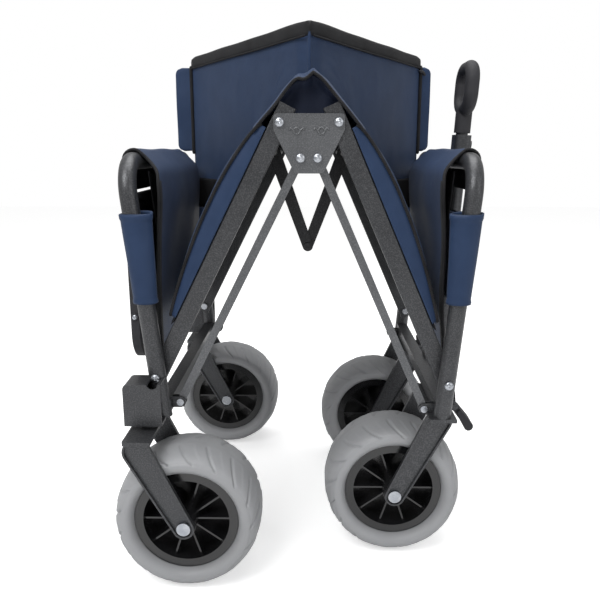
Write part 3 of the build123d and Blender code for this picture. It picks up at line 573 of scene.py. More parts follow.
class Wardrobe:
    """All the finishes of the cart, built once, and how they are put on pieces."""

    def __init__(self) -> None:
        """Builds the shared groups and every finish."""
        groups = Groups(weave_group(), hammer_group(), grain_group())
        finishes = {
            "navy": ClothFinish("navy_oxford", (0.016, 0.033, 0.078), (0.021, 0.041, 0.093), 0.55,
                                sheen=0.05),
            # Darker copy of the navy: painted shade for the cloth under the peak, which the lamps would otherwise
            # light.
            "navy_inner": ClothFinish("navy_lining", (0.007, 0.011, 0.026), (0.011, 0.017, 0.038), 0.65, sheen=0.0),
            "black_cloth": ClothFinish("black_lining", (0.006, 0.006, 0.008), (0.013, 0.013, 0.015), 0.7,
                                       crumple=0.002, sheen=0.02),
            "webbing": ClothFinish("black_webbing", (0.007, 0.007, 0.008), (0.020, 0.020, 0.022), 0.72,
                                   yarn=0.0022, relief=0.0004, crumple=0.0006, sheen=0.04),
            "enamel": HammerFinish("hammertone_enamel", (0.030, 0.031, 0.034), (0.120, 0.123, 0.130), 0.38),
            "enamel_pale": HammerFinish("hammertone_plate_enamel", (0.085, 0.088, 0.094), (0.210, 0.215, 0.225),
                                        0.40),
            "enamel_dark": HammerFinish("hammertone_brace_enamel", (0.014, 0.014, 0.016), (0.060, 0.061, 0.065),
                                        0.42),
            "zinc": MouldedFinish("bright_zinc", (0.36, 0.38, 0.42), (0.52, 0.54, 0.57), 0.27, 1500.0, 90.0,
                                  0.000006, 1.0),
            "tyre": MouldedFinish("grey_balloon_tyre", (0.275, 0.280, 0.290), (0.315, 0.320, 0.332), 0.5,
                                  1300.0, 11.0, 0.00006),
            "rim": MouldedFinish("gloss_black_rim", (0.006, 0.006, 0.007), (0.012, 0.012, 0.013), 0.2, 900.0,
                                 25.0, 0.00004, coat=0.5, spread=0.1),
            "plastic": MouldedFinish("black_plastic", (0.012, 0.012, 0.014), (0.022, 0.022, 0.025), 0.42,
                                     1100.0, 20.0, 0.0001),
        }
        self.materials = {key: finish.build(groups) for key, finish in finishes.items()}
        self.slots = {"navy": "navy_fabric", "navy_inner": "navy_fabric", "black_cloth": "black_fabric",
                      "webbing": "black_fabric", "enamel_pale": "frame_paint", "zinc": "bolt_steel", "tyre": "tyre",
                      "plastic": "black_plastic"}

    def dress(self, piece: bpy.types.Object, finish: str, body: str | None, *replaced: str) -> bpy.types.Object:
        """Gives a new piece its finish and the body it rides on.

        Args:
            piece: The new piece.
            finish: Key of the finish.
            body: Body that the piece moves with, or None for a piece that rides on no body.
            replaced: CAD nodes that the piece stands for.

        Returns:
            The same piece.
        """
        piece.data.materials.clear()
        piece.data.materials.append(self.materials[finish])
        if body:
            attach(piece, body)
        if replaced:
            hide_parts(*replaced)
        LOG.info("%s: %s on %s", piece.name, finish, body)
        return piece

    def sew(self, name: str, sheet: np.ndarray, thick: float, finish: str, body: str | None,
            *replaced: str) -> bpy.types.Object:
        """Makes a cloth shell and dresses it."""
        return self.dress(cloth_shell(name, sheet, thick), finish, body, *replaced)

    def pipe(self, name: str, path: np.ndarray, radius: float, finish: str, body: str | None,
             up: Point = (0.0, 0.0, 1.0), sides: int = 8, flatten: float = 1.0,
             closed: bool = False) -> bpy.types.Object:
        """Makes a bar along a path and dresses it."""
        return self.dress(tube(name, path, radius, up, sides, flatten, closed), finish, body)

    def coat_nodes(self, nodes: dict[str, bpy.types.Object], record: dict) -> None:
        """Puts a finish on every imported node's material slots, by the slot its record names."""
        finish_of = {"frame_paint": "enamel", "bolt_steel": "zinc", "tyre": "tyre", "rim": "rim",
                     "black_plastic": "plastic", "floor_board": "black_cloth", "navy_fabric": "navy",
                     "black_fabric": "black_cloth"}
        slot_of = {part["node"]: part["material_slot"] for part in record["subparts"]}
        special = {"gusset_plate_near": "enamel_pale", "gusset_plate_far": "enamel_pale", "front_links": "enamel_pale",
                   "rear_links": "enamel_pale", "brace_arm_front": "enamel_dark", "brace_arm_rear": "enamel_dark"}
        for name, node in nodes.items():
            material = self.materials[special.get(name, finish_of[slot_of[name]])]
            if not node.material_slots:
                node.data.materials.append(material)
            for slot in node.material_slots:
                slot.material = material


# ---------------------------------------------------------------- the cart's own sizes
@dataclass(frozen=True)
class Layout:
    """Driving sizes of the frame, in metres, and places worked out from them."""

    shift: float
    leg_foot: float = 0.278
    frame_top: float = 0.688
    leg_y: float = 0.255
    tube: float = 0.014
    plate_pitch: float = 0.045
    plate_z: float = 0.74602
    fold: float = math.radians(63.26)
    rear_fold: float = math.radians(66.24)
    wall_top: float = 0.900
    wall_bottom: float = 0.583
    hinge_y: float = 0.230
    crease_y: float = -0.200

    def leg_x(self, end: End, z: np.ndarray | float) -> np.ndarray | float:
        """X of a leg's centre line at a height: the foot plus the lean times the rise."""
        if end is End.FRONT:
            return self.shift - 0.2387 - 0.105 * (z - self.leg_foot)
        return self.shift + 0.21998 + 0.085 * (z - self.leg_foot)

    def hinge_x(self, end: End) -> float:
        """X of the far wall's hinge line."""
        return self.shift + (-0.257 if end is End.FRONT else 0.238)

    def on_rail(self, end: End, x: np.ndarray, y: np.ndarray, z: np.ndarray) -> np.ndarray:
        """Places points given in a rail's own frame.

        Args:
            end: Which pair of rails.
            x: Distance down the rail from its plate pivot.
            y: Y in the cart's frame.
            z: Distance off the rail's middle, towards its upper face.

        Returns:
            Points in the cart's frame.
        """
        slope = self.fold if end is End.FRONT else self.rear_fold
        sign = end.value
        out_x = self.shift + sign * (self.plate_pitch + x * math.cos(slope) + z * math.sin(slope))
        out_z = self.plate_z - x * math.sin(slope) + z * math.cos(slope)
        return points_of(out_x, y, out_z)

    def on_wall(self, end: End, a: np.ndarray, n: np.ndarray, z: np.ndarray) -> np.ndarray:
        """Places points given on the far wall: a along it from its hinge, n off its outer face, z up."""
        reach = math.hypot(self.hinge_x(end) - self.shift, self.hinge_y - self.crease_y)
        cos = abs(self.hinge_x(end) - self.shift) / reach
        sin = (self.hinge_y - self.crease_y) / reach
        x = self.hinge_x(end) - end.value * (cos * a + sin * n)
        y = self.hinge_y - sin * a + cos * n
        return points_of(x, y, z)

    def wall_reach(self, end: End) -> float:
        """Length of one half of the far wall, hinge to crease."""
        return math.hypot(self.hinge_x(end) - self.shift, self.hinge_y - self.crease_y) - 0.005


# ---------------------------------------------------------------- wheels
@dataclass
class BalloonTyre:
    """Wide low-pressure tyre with curved tread cuts over both shoulders."""

    corner: str
    body: str
    radius: float = 0.120
    half_width: float = 0.0572
    side_radius: float = 0.0975
    bead: float = 0.0745
    seat: float = 0.0384
    lugs: int = 17
    cut_depth: float = 0.0034
    around: int = 408

    def profile(self) -> tuple[np.ndarray, np.ndarray, np.ndarray]:
        """Section of the tyre: a squared-off oval over the tread and a quarter oval down each side.

        Returns:
            Distance across, radius, and how far round the crown each point lies, from -1 to 1.
        """
        phi = np.linspace(-np.pi / 2, np.pi / 2, 53)
        across = self.half_width * np.sign(np.sin(phi)) * np.abs(np.sin(phi)) ** 0.96
        out = self.side_radius + (self.radius - self.side_radius) * np.abs(np.cos(phi)) ** 0.78
        tuck = np.linspace(0.0, np.pi / 2, 10)[1:]
        down_w = self.seat + (self.half_width - self.seat) * np.cos(tuck)
        down_r = self.side_radius - (self.side_radius - 0.0846) * np.sin(tuck)
        w = np.concatenate([[-self.seat], -down_w[::-1], across, down_w, [self.seat], [0.0]])
        r = np.concatenate([[self.bead], down_r[::-1], out, down_r, [self.bead], [self.bead]])
        crown = np.concatenate([[-1.3], np.full(9, -1.2), phi / (np.pi / 2), np.full(9, 1.2), [1.3], [2.0]])
        return w, r, crown

    def build(self, wardrobe: Wardrobe, centre: np.ndarray) -> bpy.types.Object:
        """Swings the section round the axle and presses the cuts into it.

        Each cut follows angle = lug number + half a lug times the crown share squared, so it curves back
        towards the side, and its depth falls off as a bell on both sides of that line.

        Args:
            wardrobe: The finishes.
            centre: Middle of the wheel.

        Returns:
            The tyre.
        """
        w, r, crown = self.profile()
        angle = np.linspace(0.0, 2 * np.pi, self.around, endpoint=False)[:, None]
        far = np.abs(crown)[None, :]
        side = np.where(crown >= 0, 0.5, 0.0)[None, :]
        lug = (angle * self.lugs / (2 * np.pi) + side + 0.85 * far ** 1.7) % 1.0
        live = ramp(0.10, 0.2, far) * (1.0 - ramp(0.78, 0.9, far))
        cut = np.exp(-((lug - 0.5) / 0.055) ** 2) * live
        tile = (lug - 0.5) * live * 0.0016
        ring = np.exp(-((far - 0.8) / 0.02) ** 2) * 0.0009 + np.exp(-(far / 0.03) ** 2) * 0.0008
        radius = r[None, :] - cut * self.cut_depth * (1 - 0.5 * far) + tile * (1 - far) - ring * (1 - 0.6 * far)
        across = w[None, :] * (1.0 - (cut * self.cut_depth + ring) * far / self.half_width)
        x = centre[0] + radius * np.cos(angle)
        z = centre[2] + radius * np.sin(angle)
        points = points_of(x, centre[1] + across, z)
        faces = grid_faces(points.shape[0], points.shape[1], True, True)
        piece = make_piece(f"balloon_tyre_{self.corner}", points, faces)
        return wardrobe.dress(piece, "tyre", self.body, self.corner_node)

    @property
    def corner_node(self) -> str:
        """The CAD tyre that this one stands for."""
        end, side = self.corner.split("_")
        return f"{end}_tyre_{side}"


# ---------------------------------------------------------------- end walls
@dataclass
class EndWall:
    """Cloth of one end: hood over the top tube, short outer skirt, and the inner wall below it."""

    end: End
    layout: Layout
    near: float = -0.221
    hood_near: float = -0.190
    hood_radius: float = 0.0178
    cloth: float = 0.0028
    rows: int = 96
    cols: int = 72

    @property
    def far(self) -> float:
        """Far edge of the wall."""
        return 0.158 if self.end is End.FRONT else 0.143

    def section(self) -> np.ndarray:
        """Line of the cloth across the end, from the foot of the inner wall over the tube to the skirt.

        Returns:
            Points of (distance inboard of the top tube, height).
        """
        lay, front = self.layout, self.end is End.FRONT
        top = lay.leg_x(self.end, lay.frame_top)
        insets = ((0.372, 0.002), (0.470, 0.0125 if front else 0.020), (0.560, 0.026), (0.628, 0.0385))
        line = [((top - lay.leg_x(self.end, z)) * self.end.value + inset, z) for z, inset in insets]
        line += [(0.044, 0.655), (0.041, 0.672), (0.028, 0.686)]
        turn = np.radians(np.linspace(70, 180, 9))
        line += [(self.hood_radius * math.cos(t), lay.frame_top + self.hood_radius * math.sin(t)) for t in turn]
        line += [(-self.hood_radius, lay.frame_top - 0.049)]
        return rounded(np.array(line), self.rows, 2)

    def build(self, wardrobe: Wardrobe) -> list[bpy.types.Object]:
        """Builds the wall, its edge binding, its zip tape and its lining.

        The near edge of each row runs from the wall's own edge at the foot to the hood's edge at the top,
        by a smooth step of the height, and low waves of cloth fade out towards the edges.

        Args:
            wardrobe: The finishes.

        Returns:
            The pieces, the wall first.
        """
        lay, end = self.layout, self.end
        line = self.section()
        top = lay.leg_x(end, lay.frame_top)
        s = np.linspace(0.0, 1.0, self.cols)[None, :]
        low = ramp(0.648, 0.700, line[:, 1])[:, None]
        over = (np.arange(self.rows)[:, None] > np.argmax(line[:, 1])).astype(float)
        low = np.maximum(low, over)
        near = self.near + (self.hood_near - self.near) * low
        y = near + (self.far - near) * s
        inset, z = line[:, 0][:, None], line[:, 1][:, None]
        body = ramp(0.38, 0.47, z) * (1 - ramp(0.60, 0.68, z)) * np.sin(np.pi * np.clip(s, 0, 1)) ** 0.6
        wave = 0.004 * np.sin(9.0 * y + 3.0 * z) + 0.0022 * np.sin(31.0 * y - 22.0 * z)
        droop = 0.0007 * np.sin(34.0 * y + 1.0) * ramp(0.68, 0.69, z)
        inset = inset + (wave + 0.004) * body
        x = top - end.value * inset
        sheet = points_of(x, y, z + droop)
        frame = f"{end.word}_frame"
        wall = wardrobe.sew(f"end_wall_{end.word}", sheet, self.cloth, "navy", frame, f"{end.word}_end_wall")
        inner = sheet[:, 0]
        off = sheet_normals(sheet)[:, 0]
        binding = wardrobe.pipe(f"end_wall_binding_{end.word}", inner + np.array([0, -0.0005, 0]), 0.0026, "webbing",
                                frame, (0, 1, 0), 10)
        tape_rows = (line[:, 1] < 0.66) & (over[:, 0] < 0.5)
        spread = np.linspace(0.0, 0.013, 6)
        facing = -float(np.sign(off[10, 0] * end.value))
        tape = inner[tape_rows][:, None] + off[tape_rows][:, None] * (facing * 0.0021)
        tape = tape + np.array([0.0, 1.0, 0.0]) * spread[None, :, None]
        zip_tape = wardrobe.sew(f"end_wall_zip_tape_{end.word}", tape, 0.0014, "webbing", frame)
        lining = sheet[6:, 2:-1] - sheet_normals(sheet)[6:, 2:-1] * (facing * 0.0022)
        return [wall, binding, zip_tape,
                wardrobe.sew(f"end_wall_lining_{end.word}", lining, 0.0012, "black_cloth", frame)]


# ---------------------------------------------------------------- far wall
@dataclass
class FarWall:
    """One half of the raised far wall with its band, piping, folded corner, and a black skirt along the foot that is
    painted shade for the dark interior below the wall.
    """

    end: End
    layout: Layout
    corner_run: float = 0.241
    corner_turn: float = math.radians(150.0)
    seam: float = 0.006
    notch_inset: float = 0.045
    notch_rise: float = 0.180
    cloth: float = 0.0045
    ridge: float = 0.0035

    @property
    def notch_start(self) -> float:
        """Distance along the wall where its lower edge starts to rise."""
        return 0.185 if self.end is End.FRONT else 0.165

    def low_edge(self, a: np.ndarray) -> np.ndarray:
        """Height of the lower edge: level, then up at 45 degrees, then level again."""
        return self.layout.wall_bottom + np.clip(a - self.notch_start - self.notch_inset, 0.0, self.notch_rise)

    def surface(self, a: np.ndarray, z: np.ndarray) -> np.ndarray:
        """Off-plane shape of the wall: a low belly, falling away towards the crease and the hinge."""
        reach = self.layout.wall_reach(self.end)
        u = np.clip(a / reach, 0, 1)
        belly = 0.0025 * np.sin(np.pi * u) * np.sin(np.pi * np.clip((z - 0.56) / 0.36, 0, 1))
        return belly + 0.0012 * np.sin(19.0 * a + 9.0 * z) * np.sin(np.pi * u)

    def build(self, wardrobe: Wardrobe) -> list[bpy.types.Object]:
        """Builds every piece of this half.

        Args:
            wardrobe: The finishes.

        Returns:
            The pieces, the wall first.
        """
        lay, end = self.layout, self.end
        body = f"wall_{end.word}"
        reach = lay.wall_reach(end) + 0.001
        a = np.linspace(self.seam, reach, 110)[:, None]
        share = np.linspace(0.0, 1.0, 48)[None, :]
        z = self.low_edge(a) + (lay.wall_top - 0.014 - self.low_edge(a)) * share
        round_off = self.ridge * ramp(reach - 0.035, reach, a)
        sheet = lay.on_wall(end, a, self.surface(a, z) + round_off, z)
        wall = wardrobe.sew(f"far_wall_{end.word}_cloth", sheet, self.cloth, "navy", body, f"far_wall_{end.word}")
        return [wall, *self.band(wardrobe, body, reach), *self.edges(wardrobe, body, reach), self.corner(wardrobe)]

    def band(self, wardrobe: Wardrobe, body: str, reach: float) -> list[bpy.types.Object]:
        """Builds the webbing band along the top: a flat loop folded over the wall's upper edge."""
        lay, end = self.layout, self.end
        a = np.linspace(self.seam - 0.004, reach + 0.004, 70)
        turn = np.radians(np.linspace(-90, 270, 29))
        half_height, half_thick, middle = 0.0112, 0.0048, lay.wall_top - 0.0125
        n = half_thick * np.sign(np.cos(turn)) * np.abs(np.cos(turn)) ** 0.6
        h = half_height * np.sign(np.sin(turn)) * np.abs(np.sin(turn)) ** 0.8
        ends = np.ones_like(a)
        ends[[0, -1]] = 0.0
        sway = self.surface(a, np.full_like(a, lay.wall_top - 0.02))
        ripple = 0.0003 * np.sin(47.0 * a)
        sag = 0.004 * ramp(0.03, 0.0, a)
        off = sway[:, None] + n[None, :] * ends[:, None] + self.ridge * ramp(reach - 0.035, reach, a)[:, None]
        up = middle - sag[:, None] + (h[None, :] + ripple[:, None]) * ends[:, None]
        points = lay.on_wall(end, a[:, None], off, up)
        uv = points_of(a[:, None], (turn * 0.012)[None, :])
        strap = make_piece(f"far_wall_band_{end.word}", points, grid_faces(len(a), len(turn), False, True), uv)
        pipe = lay.on_wall(end, a[1:-1], sway[1:-1] - 0.0048, np.full(len(a) - 2, middle - half_height - 0.0005))
        return [wardrobe.dress(strap, "webbing", body),
                wardrobe.pipe(f"far_wall_zip_{end.word}", pipe, 0.0018, "black_cloth", body)]

    def edges(self, wardrobe: Wardrobe, body: str, reach: float) -> list[bpy.types.Object]:
        """Builds the piping on the hinge edge and the notch, and the black skirt along the foot, a sheet of painted
        shade for the dark interior below the wall.
        """
        lay, end = self.layout, self.end
        z = np.linspace(0.700, lay.wall_top - 0.022, 40)
        hinge = lay.on_wall(end, np.full_like(z, self.seam + 0.001), -0.0040 - 0 * z, z)
        notch_a = np.linspace(self.seam, reach, 120)
        low = self.low_edge(notch_a)
        edge = lay.on_wall(end, notch_a, self.surface(notch_a, low), low)
        # The black skirt below the wall's foot is painted shade: it stands in for the dark interior under the wall.
        a = np.linspace(self.seam + 0.002, self.notch_start + 0.05, 50)[:, None]
        high = np.minimum(self.low_edge(a) + 0.0001 + 0.062, 0.662)
        rise = self.low_edge(a) + (high - self.low_edge(a)) * np.linspace(0.02, 1.0, 14)[None, :]
        skirt = lay.on_wall(end, a, self.surface(a, rise) - 0.0031, rise)
        painted_shade_sheet = wardrobe.sew(f"far_wall_skirt_{end.word}", skirt, 0.0014, "black_cloth", body)
        return [wardrobe.pipe(f"far_wall_piping_{end.word}", hinge, 0.0042, "webbing", body, (1, 0, 0)),
                wardrobe.pipe(f"far_wall_edge_{end.word}", edge, 0.0026, "webbing", body), painted_shade_sheet]

    def corner(self, wardrobe: Wardrobe) -> bpy.types.Object:
        """Builds the loose corner, folded back about the notch's 45 degree hinge line.

        In the flat it is everything below the hinge line inside the wall's own outline, and each point
        then turns about that line by 150 degrees.

        Args:
            wardrobe: The finishes.

        Returns:
            The corner flap.
        """
        lay, end = self.layout, self.end
        start, top = self.notch_start, self.corner_run
        reach = min(lay.wall_reach(end), start + lay.wall_top - lay.wall_bottom)
        t = np.linspace(0.02, 0.98, 40)[:, None]
        root = math.sqrt(0.5)
        limit = np.minimum(np.minimum(top * t / root, (reach - start - top * t) / root),
                           (reach - 0.060 - start) * root)
        d = np.maximum(limit, 0.001) * np.linspace(0.0, 1.0, 24)[None, :]
        turn, out = self.corner_turn, 0.0005
        away = d * math.cos(turn) + out * -math.sin(turn)
        lift = d * math.sin(turn) + out * math.cos(turn)
        wave = 0.0015 * np.sin(40.0 * d + 7.0 * t) * np.clip(d / 0.05, 0, 1)
        a = start + top * t + away * root
        z = lay.wall_bottom + top * t - away * root
        sheet = lay.on_wall(end, a, 0.00725 + lift + wave, z)
        flap = wardrobe.sew(f"far_corner_{end.word}_cloth", sheet, 0.0032, "navy", f"corner_{end.word}",
                            f"far_corner_{end.word}")
        return flap


@dataclass
class SideStrip:
    """Upright zip strip at one end of the far wall, with the rounded cloth flap sewn to it."""

    end: End
    layout: Layout
    tape_foot: float = 0.706
    tape_head: float = 0.869
    flap_foot: float = 0.703
    flap_head: float = 0.878
    flap_corner: float = 0.014

    @property
    def flap_width(self) -> float:
        """How far the flap reaches out from the zip strip."""
        return 0.0335 if self.end is End.FRONT else 0.0215

    def build(self, wardrobe: Wardrobe) -> list[bpy.types.Object]:
        """Builds the zip tape and the flap with rounded corners."""
        lay, end = self.layout, self.end
        body, x0 = f"wall_strip_{end.word}", lay.hinge_x(end)
        z = np.linspace(self.tape_foot, self.tape_head, 60)[:, None]
        y = np.linspace(-0.005, 0.005, 8)[None, :]
        tape = points_of(x0 + end.value * (0.0010 + 0 * z + 0.0002 * np.sin(60 * z)), lay.hinge_y + y, z)
        strip = wardrobe.sew(f"zip_strip_{end.word}", tape, 0.0013, "webbing", body, f"far_strip_{end.word}")
        u = np.linspace(0.0, 1.0, 12)[None, :]
        v = np.linspace(0.0, 1.0, 50)[:, None]
        corner, span = self.flap_corner, self.flap_head - self.flap_foot
        near_end = np.minimum(v, 1 - v) * span
        tuck = np.where(near_end < corner, corner - np.sqrt(np.maximum(corner ** 2 - (corner - near_end) ** 2, 0)), 0)
        out = (self.flap_width - tuck) * u
        flap = points_of(x0 + end.value * (0.0020 + out), lay.hinge_y - 0.004 + 0.004 * u + 0.0015 * np.sin(8 * v),
                         self.flap_foot + span * v)
        cloth = wardrobe.sew(f"side_flap_{end.word}", flap, 0.003, "navy", body)
        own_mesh(cloth)
        return [strip, cloth]


# ---------------------------------------------------------------- floor and near wall
@dataclass
class FloorHalf:
    """One folding half of the floor: covered board, the near wall folded on to it, and its piping."""

    end: End
    layout: Layout
    board_start: float = 0.020
    board_end: float = 0.365
    half_width: float = 0.238
    wall_start: float = 0.016
    wall_length: float = 0.334
    wall_base: float = 0.0150

    def board(self, wardrobe: Wardrobe) -> bpy.types.Object:
        """Builds the covered board: a flat pad whose edges round off as a squared oval."""
        lay, end = self.layout, self.end
        x = np.linspace(0.0, 1.0, 60)[:, None]
        turn = np.linspace(0.0, 2 * np.pi, 120, endpoint=False)[None, :]
        c, s = np.cos(turn), np.sin(turn)
        y = self.half_width * np.sign(c) * np.abs(c) ** 0.22
        cap = np.clip(np.minimum(x, 1 - x) / 0.012, 0, 1) ** 0.5
        quilt = 0.0004 * np.cos(y * 2 * np.pi / 0.119) + 0.0002 * np.cos(x * 12)
        z = 0.0165 + (0.0021 + quilt) * np.sign(s) * np.abs(s) ** 0.35 * cap
        points = lay.on_rail(end, self.board_start + (self.board_end - self.board_start) * x, y, z)
        uv = points_of(x * 0.345, y)
        piece = make_piece(f"floor_board_{end.word}", points, grid_faces(60, 120, False, True), uv)
        return wardrobe.dress(piece, "black_cloth", f"{end.word}_rails", f"{end.word}_floor_board")

    def folded_wall(self, wardrobe: Wardrobe) -> list[bpy.types.Object]:
        """Builds the near wall folded inwards: up from the rail, over a soft roll, and in over the floor.

        The roll's height grows from nothing at the plate to its full height half way down the rail.

        Args:
            wardrobe: The finishes.

        Returns:
            The cloth and its line of piping.
        """
        lay, end = self.layout, self.end
        share = np.linspace(0.0, 1.0, 90)[:, None]
        x = self.wall_start + self.wall_length * share
        height = 0.010 + 0.023 * np.sin(np.pi * np.clip(share, 0, 1) ** 0.8) ** 0.8
        v = np.linspace(0.0, 1.0, 60)[None, :]
        roll = np.clip(v / 0.55, 0, 1) * np.pi
        inner = np.clip((v - 0.55) / 0.45, 0, 1)
        y = -0.2395 + 0.012 * (1 - np.cos(roll)) + 0.112 * inner
        lift = height * np.sin(np.clip(roll, 0, np.pi * 0.62)) * (1 - 0.75 * ramp(0.36, 1.0, v))
        z = self.wall_base + lift + 0.0016 * np.sin(52.0 * x + 9.0 * v) * v
        sheet = lay.on_rail(end, x, y + 0 * x, z)
        body = f"{end.word}_rails"
        cloth = wardrobe.sew(f"near_wall_{end.word}_cloth", sheet, 0.003, "navy", body, f"near_wall_{end.word}")
        crest_y = np.full(len(x), -0.2375)
        crest = lay.on_rail(end, x[:, 0], crest_y, self.wall_base + height[:, 0] * 0.9)
        return [cloth, wardrobe.pipe(f"near_wall_piping_{end.word}", crest, 0.0026, "webbing", body, (0, 1, 0))]

    def build(self, wardrobe: Wardrobe) -> list[bpy.types.Object]:
        """Builds the whole half."""
        return [self.board(wardrobe), *self.folded_wall(wardrobe)]


# ---------------------------------------------------------------- sleeves and pocket
@dataclass
class LegSleeve:
    """Cloth sleeve round one leg, wider at its upper hem."""

    end: End
    side: Side
    layout: Layout
    foot: float = 0.469
    head: float = 0.610

    def build(self, wardrobe: Wardrobe, replaced: tuple[str, ...]) -> bpy.types.Object:
        """Builds the sleeve as a closed wall: out along the outside, and back along the tube.

        Args:
            wardrobe: The finishes.
            replaced: CAD nodes that it stands for.

        Returns:
            The sleeve.
        """
        lay, end = self.layout, self.end
        share = np.linspace(0.0, 1.0, 40)[:, None]
        z = self.foot + (self.head - self.foot) * share
        turn = np.linspace(0.0, 2 * np.pi, 56, endpoint=False)[None, :]
        wide = 0.0185 + 0.0065 * share
        deep = 0.0172 + 0.001 * share
        inward = -end.value
        lean = 0.0065 * share * inward
        ripple = 1.0 + 0.015 * np.sin(3 * turn + 4 * share) * np.sin(np.pi * share)
        hem = 0.0012 * (ramp(0.93, 0.94, share) + ramp(0.05, 0.04, share))
        cx = lay.leg_x(end, z) + lean
        outer = points_of(cx + (wide + hem) * ripple * np.cos(turn),
                          self.side.value * lay.leg_y + (deep + hem) * ripple * np.sin(turn),
                          z + 0.003 * np.sin(turn + 0.5) * ramp(0.9, 1.0, share))
        inner_z = z[::-1]
        inner_x = lay.leg_x(end, inner_z) + lean[::-1]
        thick = 0.0022
        inner = points_of(inner_x + (wide[::-1] - thick) * np.cos(turn),
                          self.side.value * lay.leg_y + (deep[::-1] - thick) * np.sin(turn), inner_z)
        points = np.concatenate([outer, inner])
        uv = points_of(np.concatenate([z, inner_z]), turn * 0.02)
        piece = make_piece(f"leg_sleeve_{end.word}_{self.side.word}", points, grid_faces(80, 56, True, True), uv)
        return wardrobe.dress(piece, "navy", f"{end.word}_frame", *replaced)


@dataclass
class RearPocket:
    """Soft pocket on the outside of the rear end, with a black pull tab."""

    layout: Layout
    foot: float = 0.457
    head: float = 0.598
    near_y: float = -0.234
    width: float = 0.192

    def build(self, wardrobe: Wardrobe) -> list[bpy.types.Object]:
        """Builds the pocket as a shallow closed bag whose front bellies out as a product of sines."""
        lay = self.layout
        s = np.linspace(0.0, 1.0, 50)[None, :]
        v = np.linspace(0.0, 1.0, 40)[:, None]
        z = self.foot + (self.head - self.foot) * v
        y = self.near_y + self.width * s
        belly = 0.014 * (np.sin(np.pi * s) ** 0.35) * (np.sin(np.pi * np.clip(v * 0.93, 0, 1)) ** 0.4)
        back = lay.leg_x(End.REAR, z) + 0.003
        front = back + 0.003 + belly + 0.0012 * np.sin(40 * y + 30 * z)
        points = np.concatenate([points_of(front, y, z), points_of(back, y, z)])
        uv = points_of(z, y).reshape(-1, 2)
        bag = make_piece("rear_pocket_cloth", points, shell_faces(*front.shape), np.concatenate([uv, uv]))
        wardrobe.dress(bag, "navy", "rear_frame", "rear_pocket")
        tab_z = np.linspace(0.552, 0.574, 10)[:, None]
        out = np.linspace(0.0, 0.012, 8)[None, :]
        tab = points_of(lay.leg_x(End.REAR, tab_z) + 0.0125 + out, -0.214 - 0.2 * out, tab_z - 0.3 * out)
        hem = points_of(front[-1] + 0.0002, y[0], np.full_like(y[0], self.head))
        return [bag, wardrobe.sew("rear_pocket_tab", tab, 0.002, "webbing", "rear_frame"),
                wardrobe.pipe("rear_pocket_hem", hem, 0.0022, "webbing", "rear_frame")]


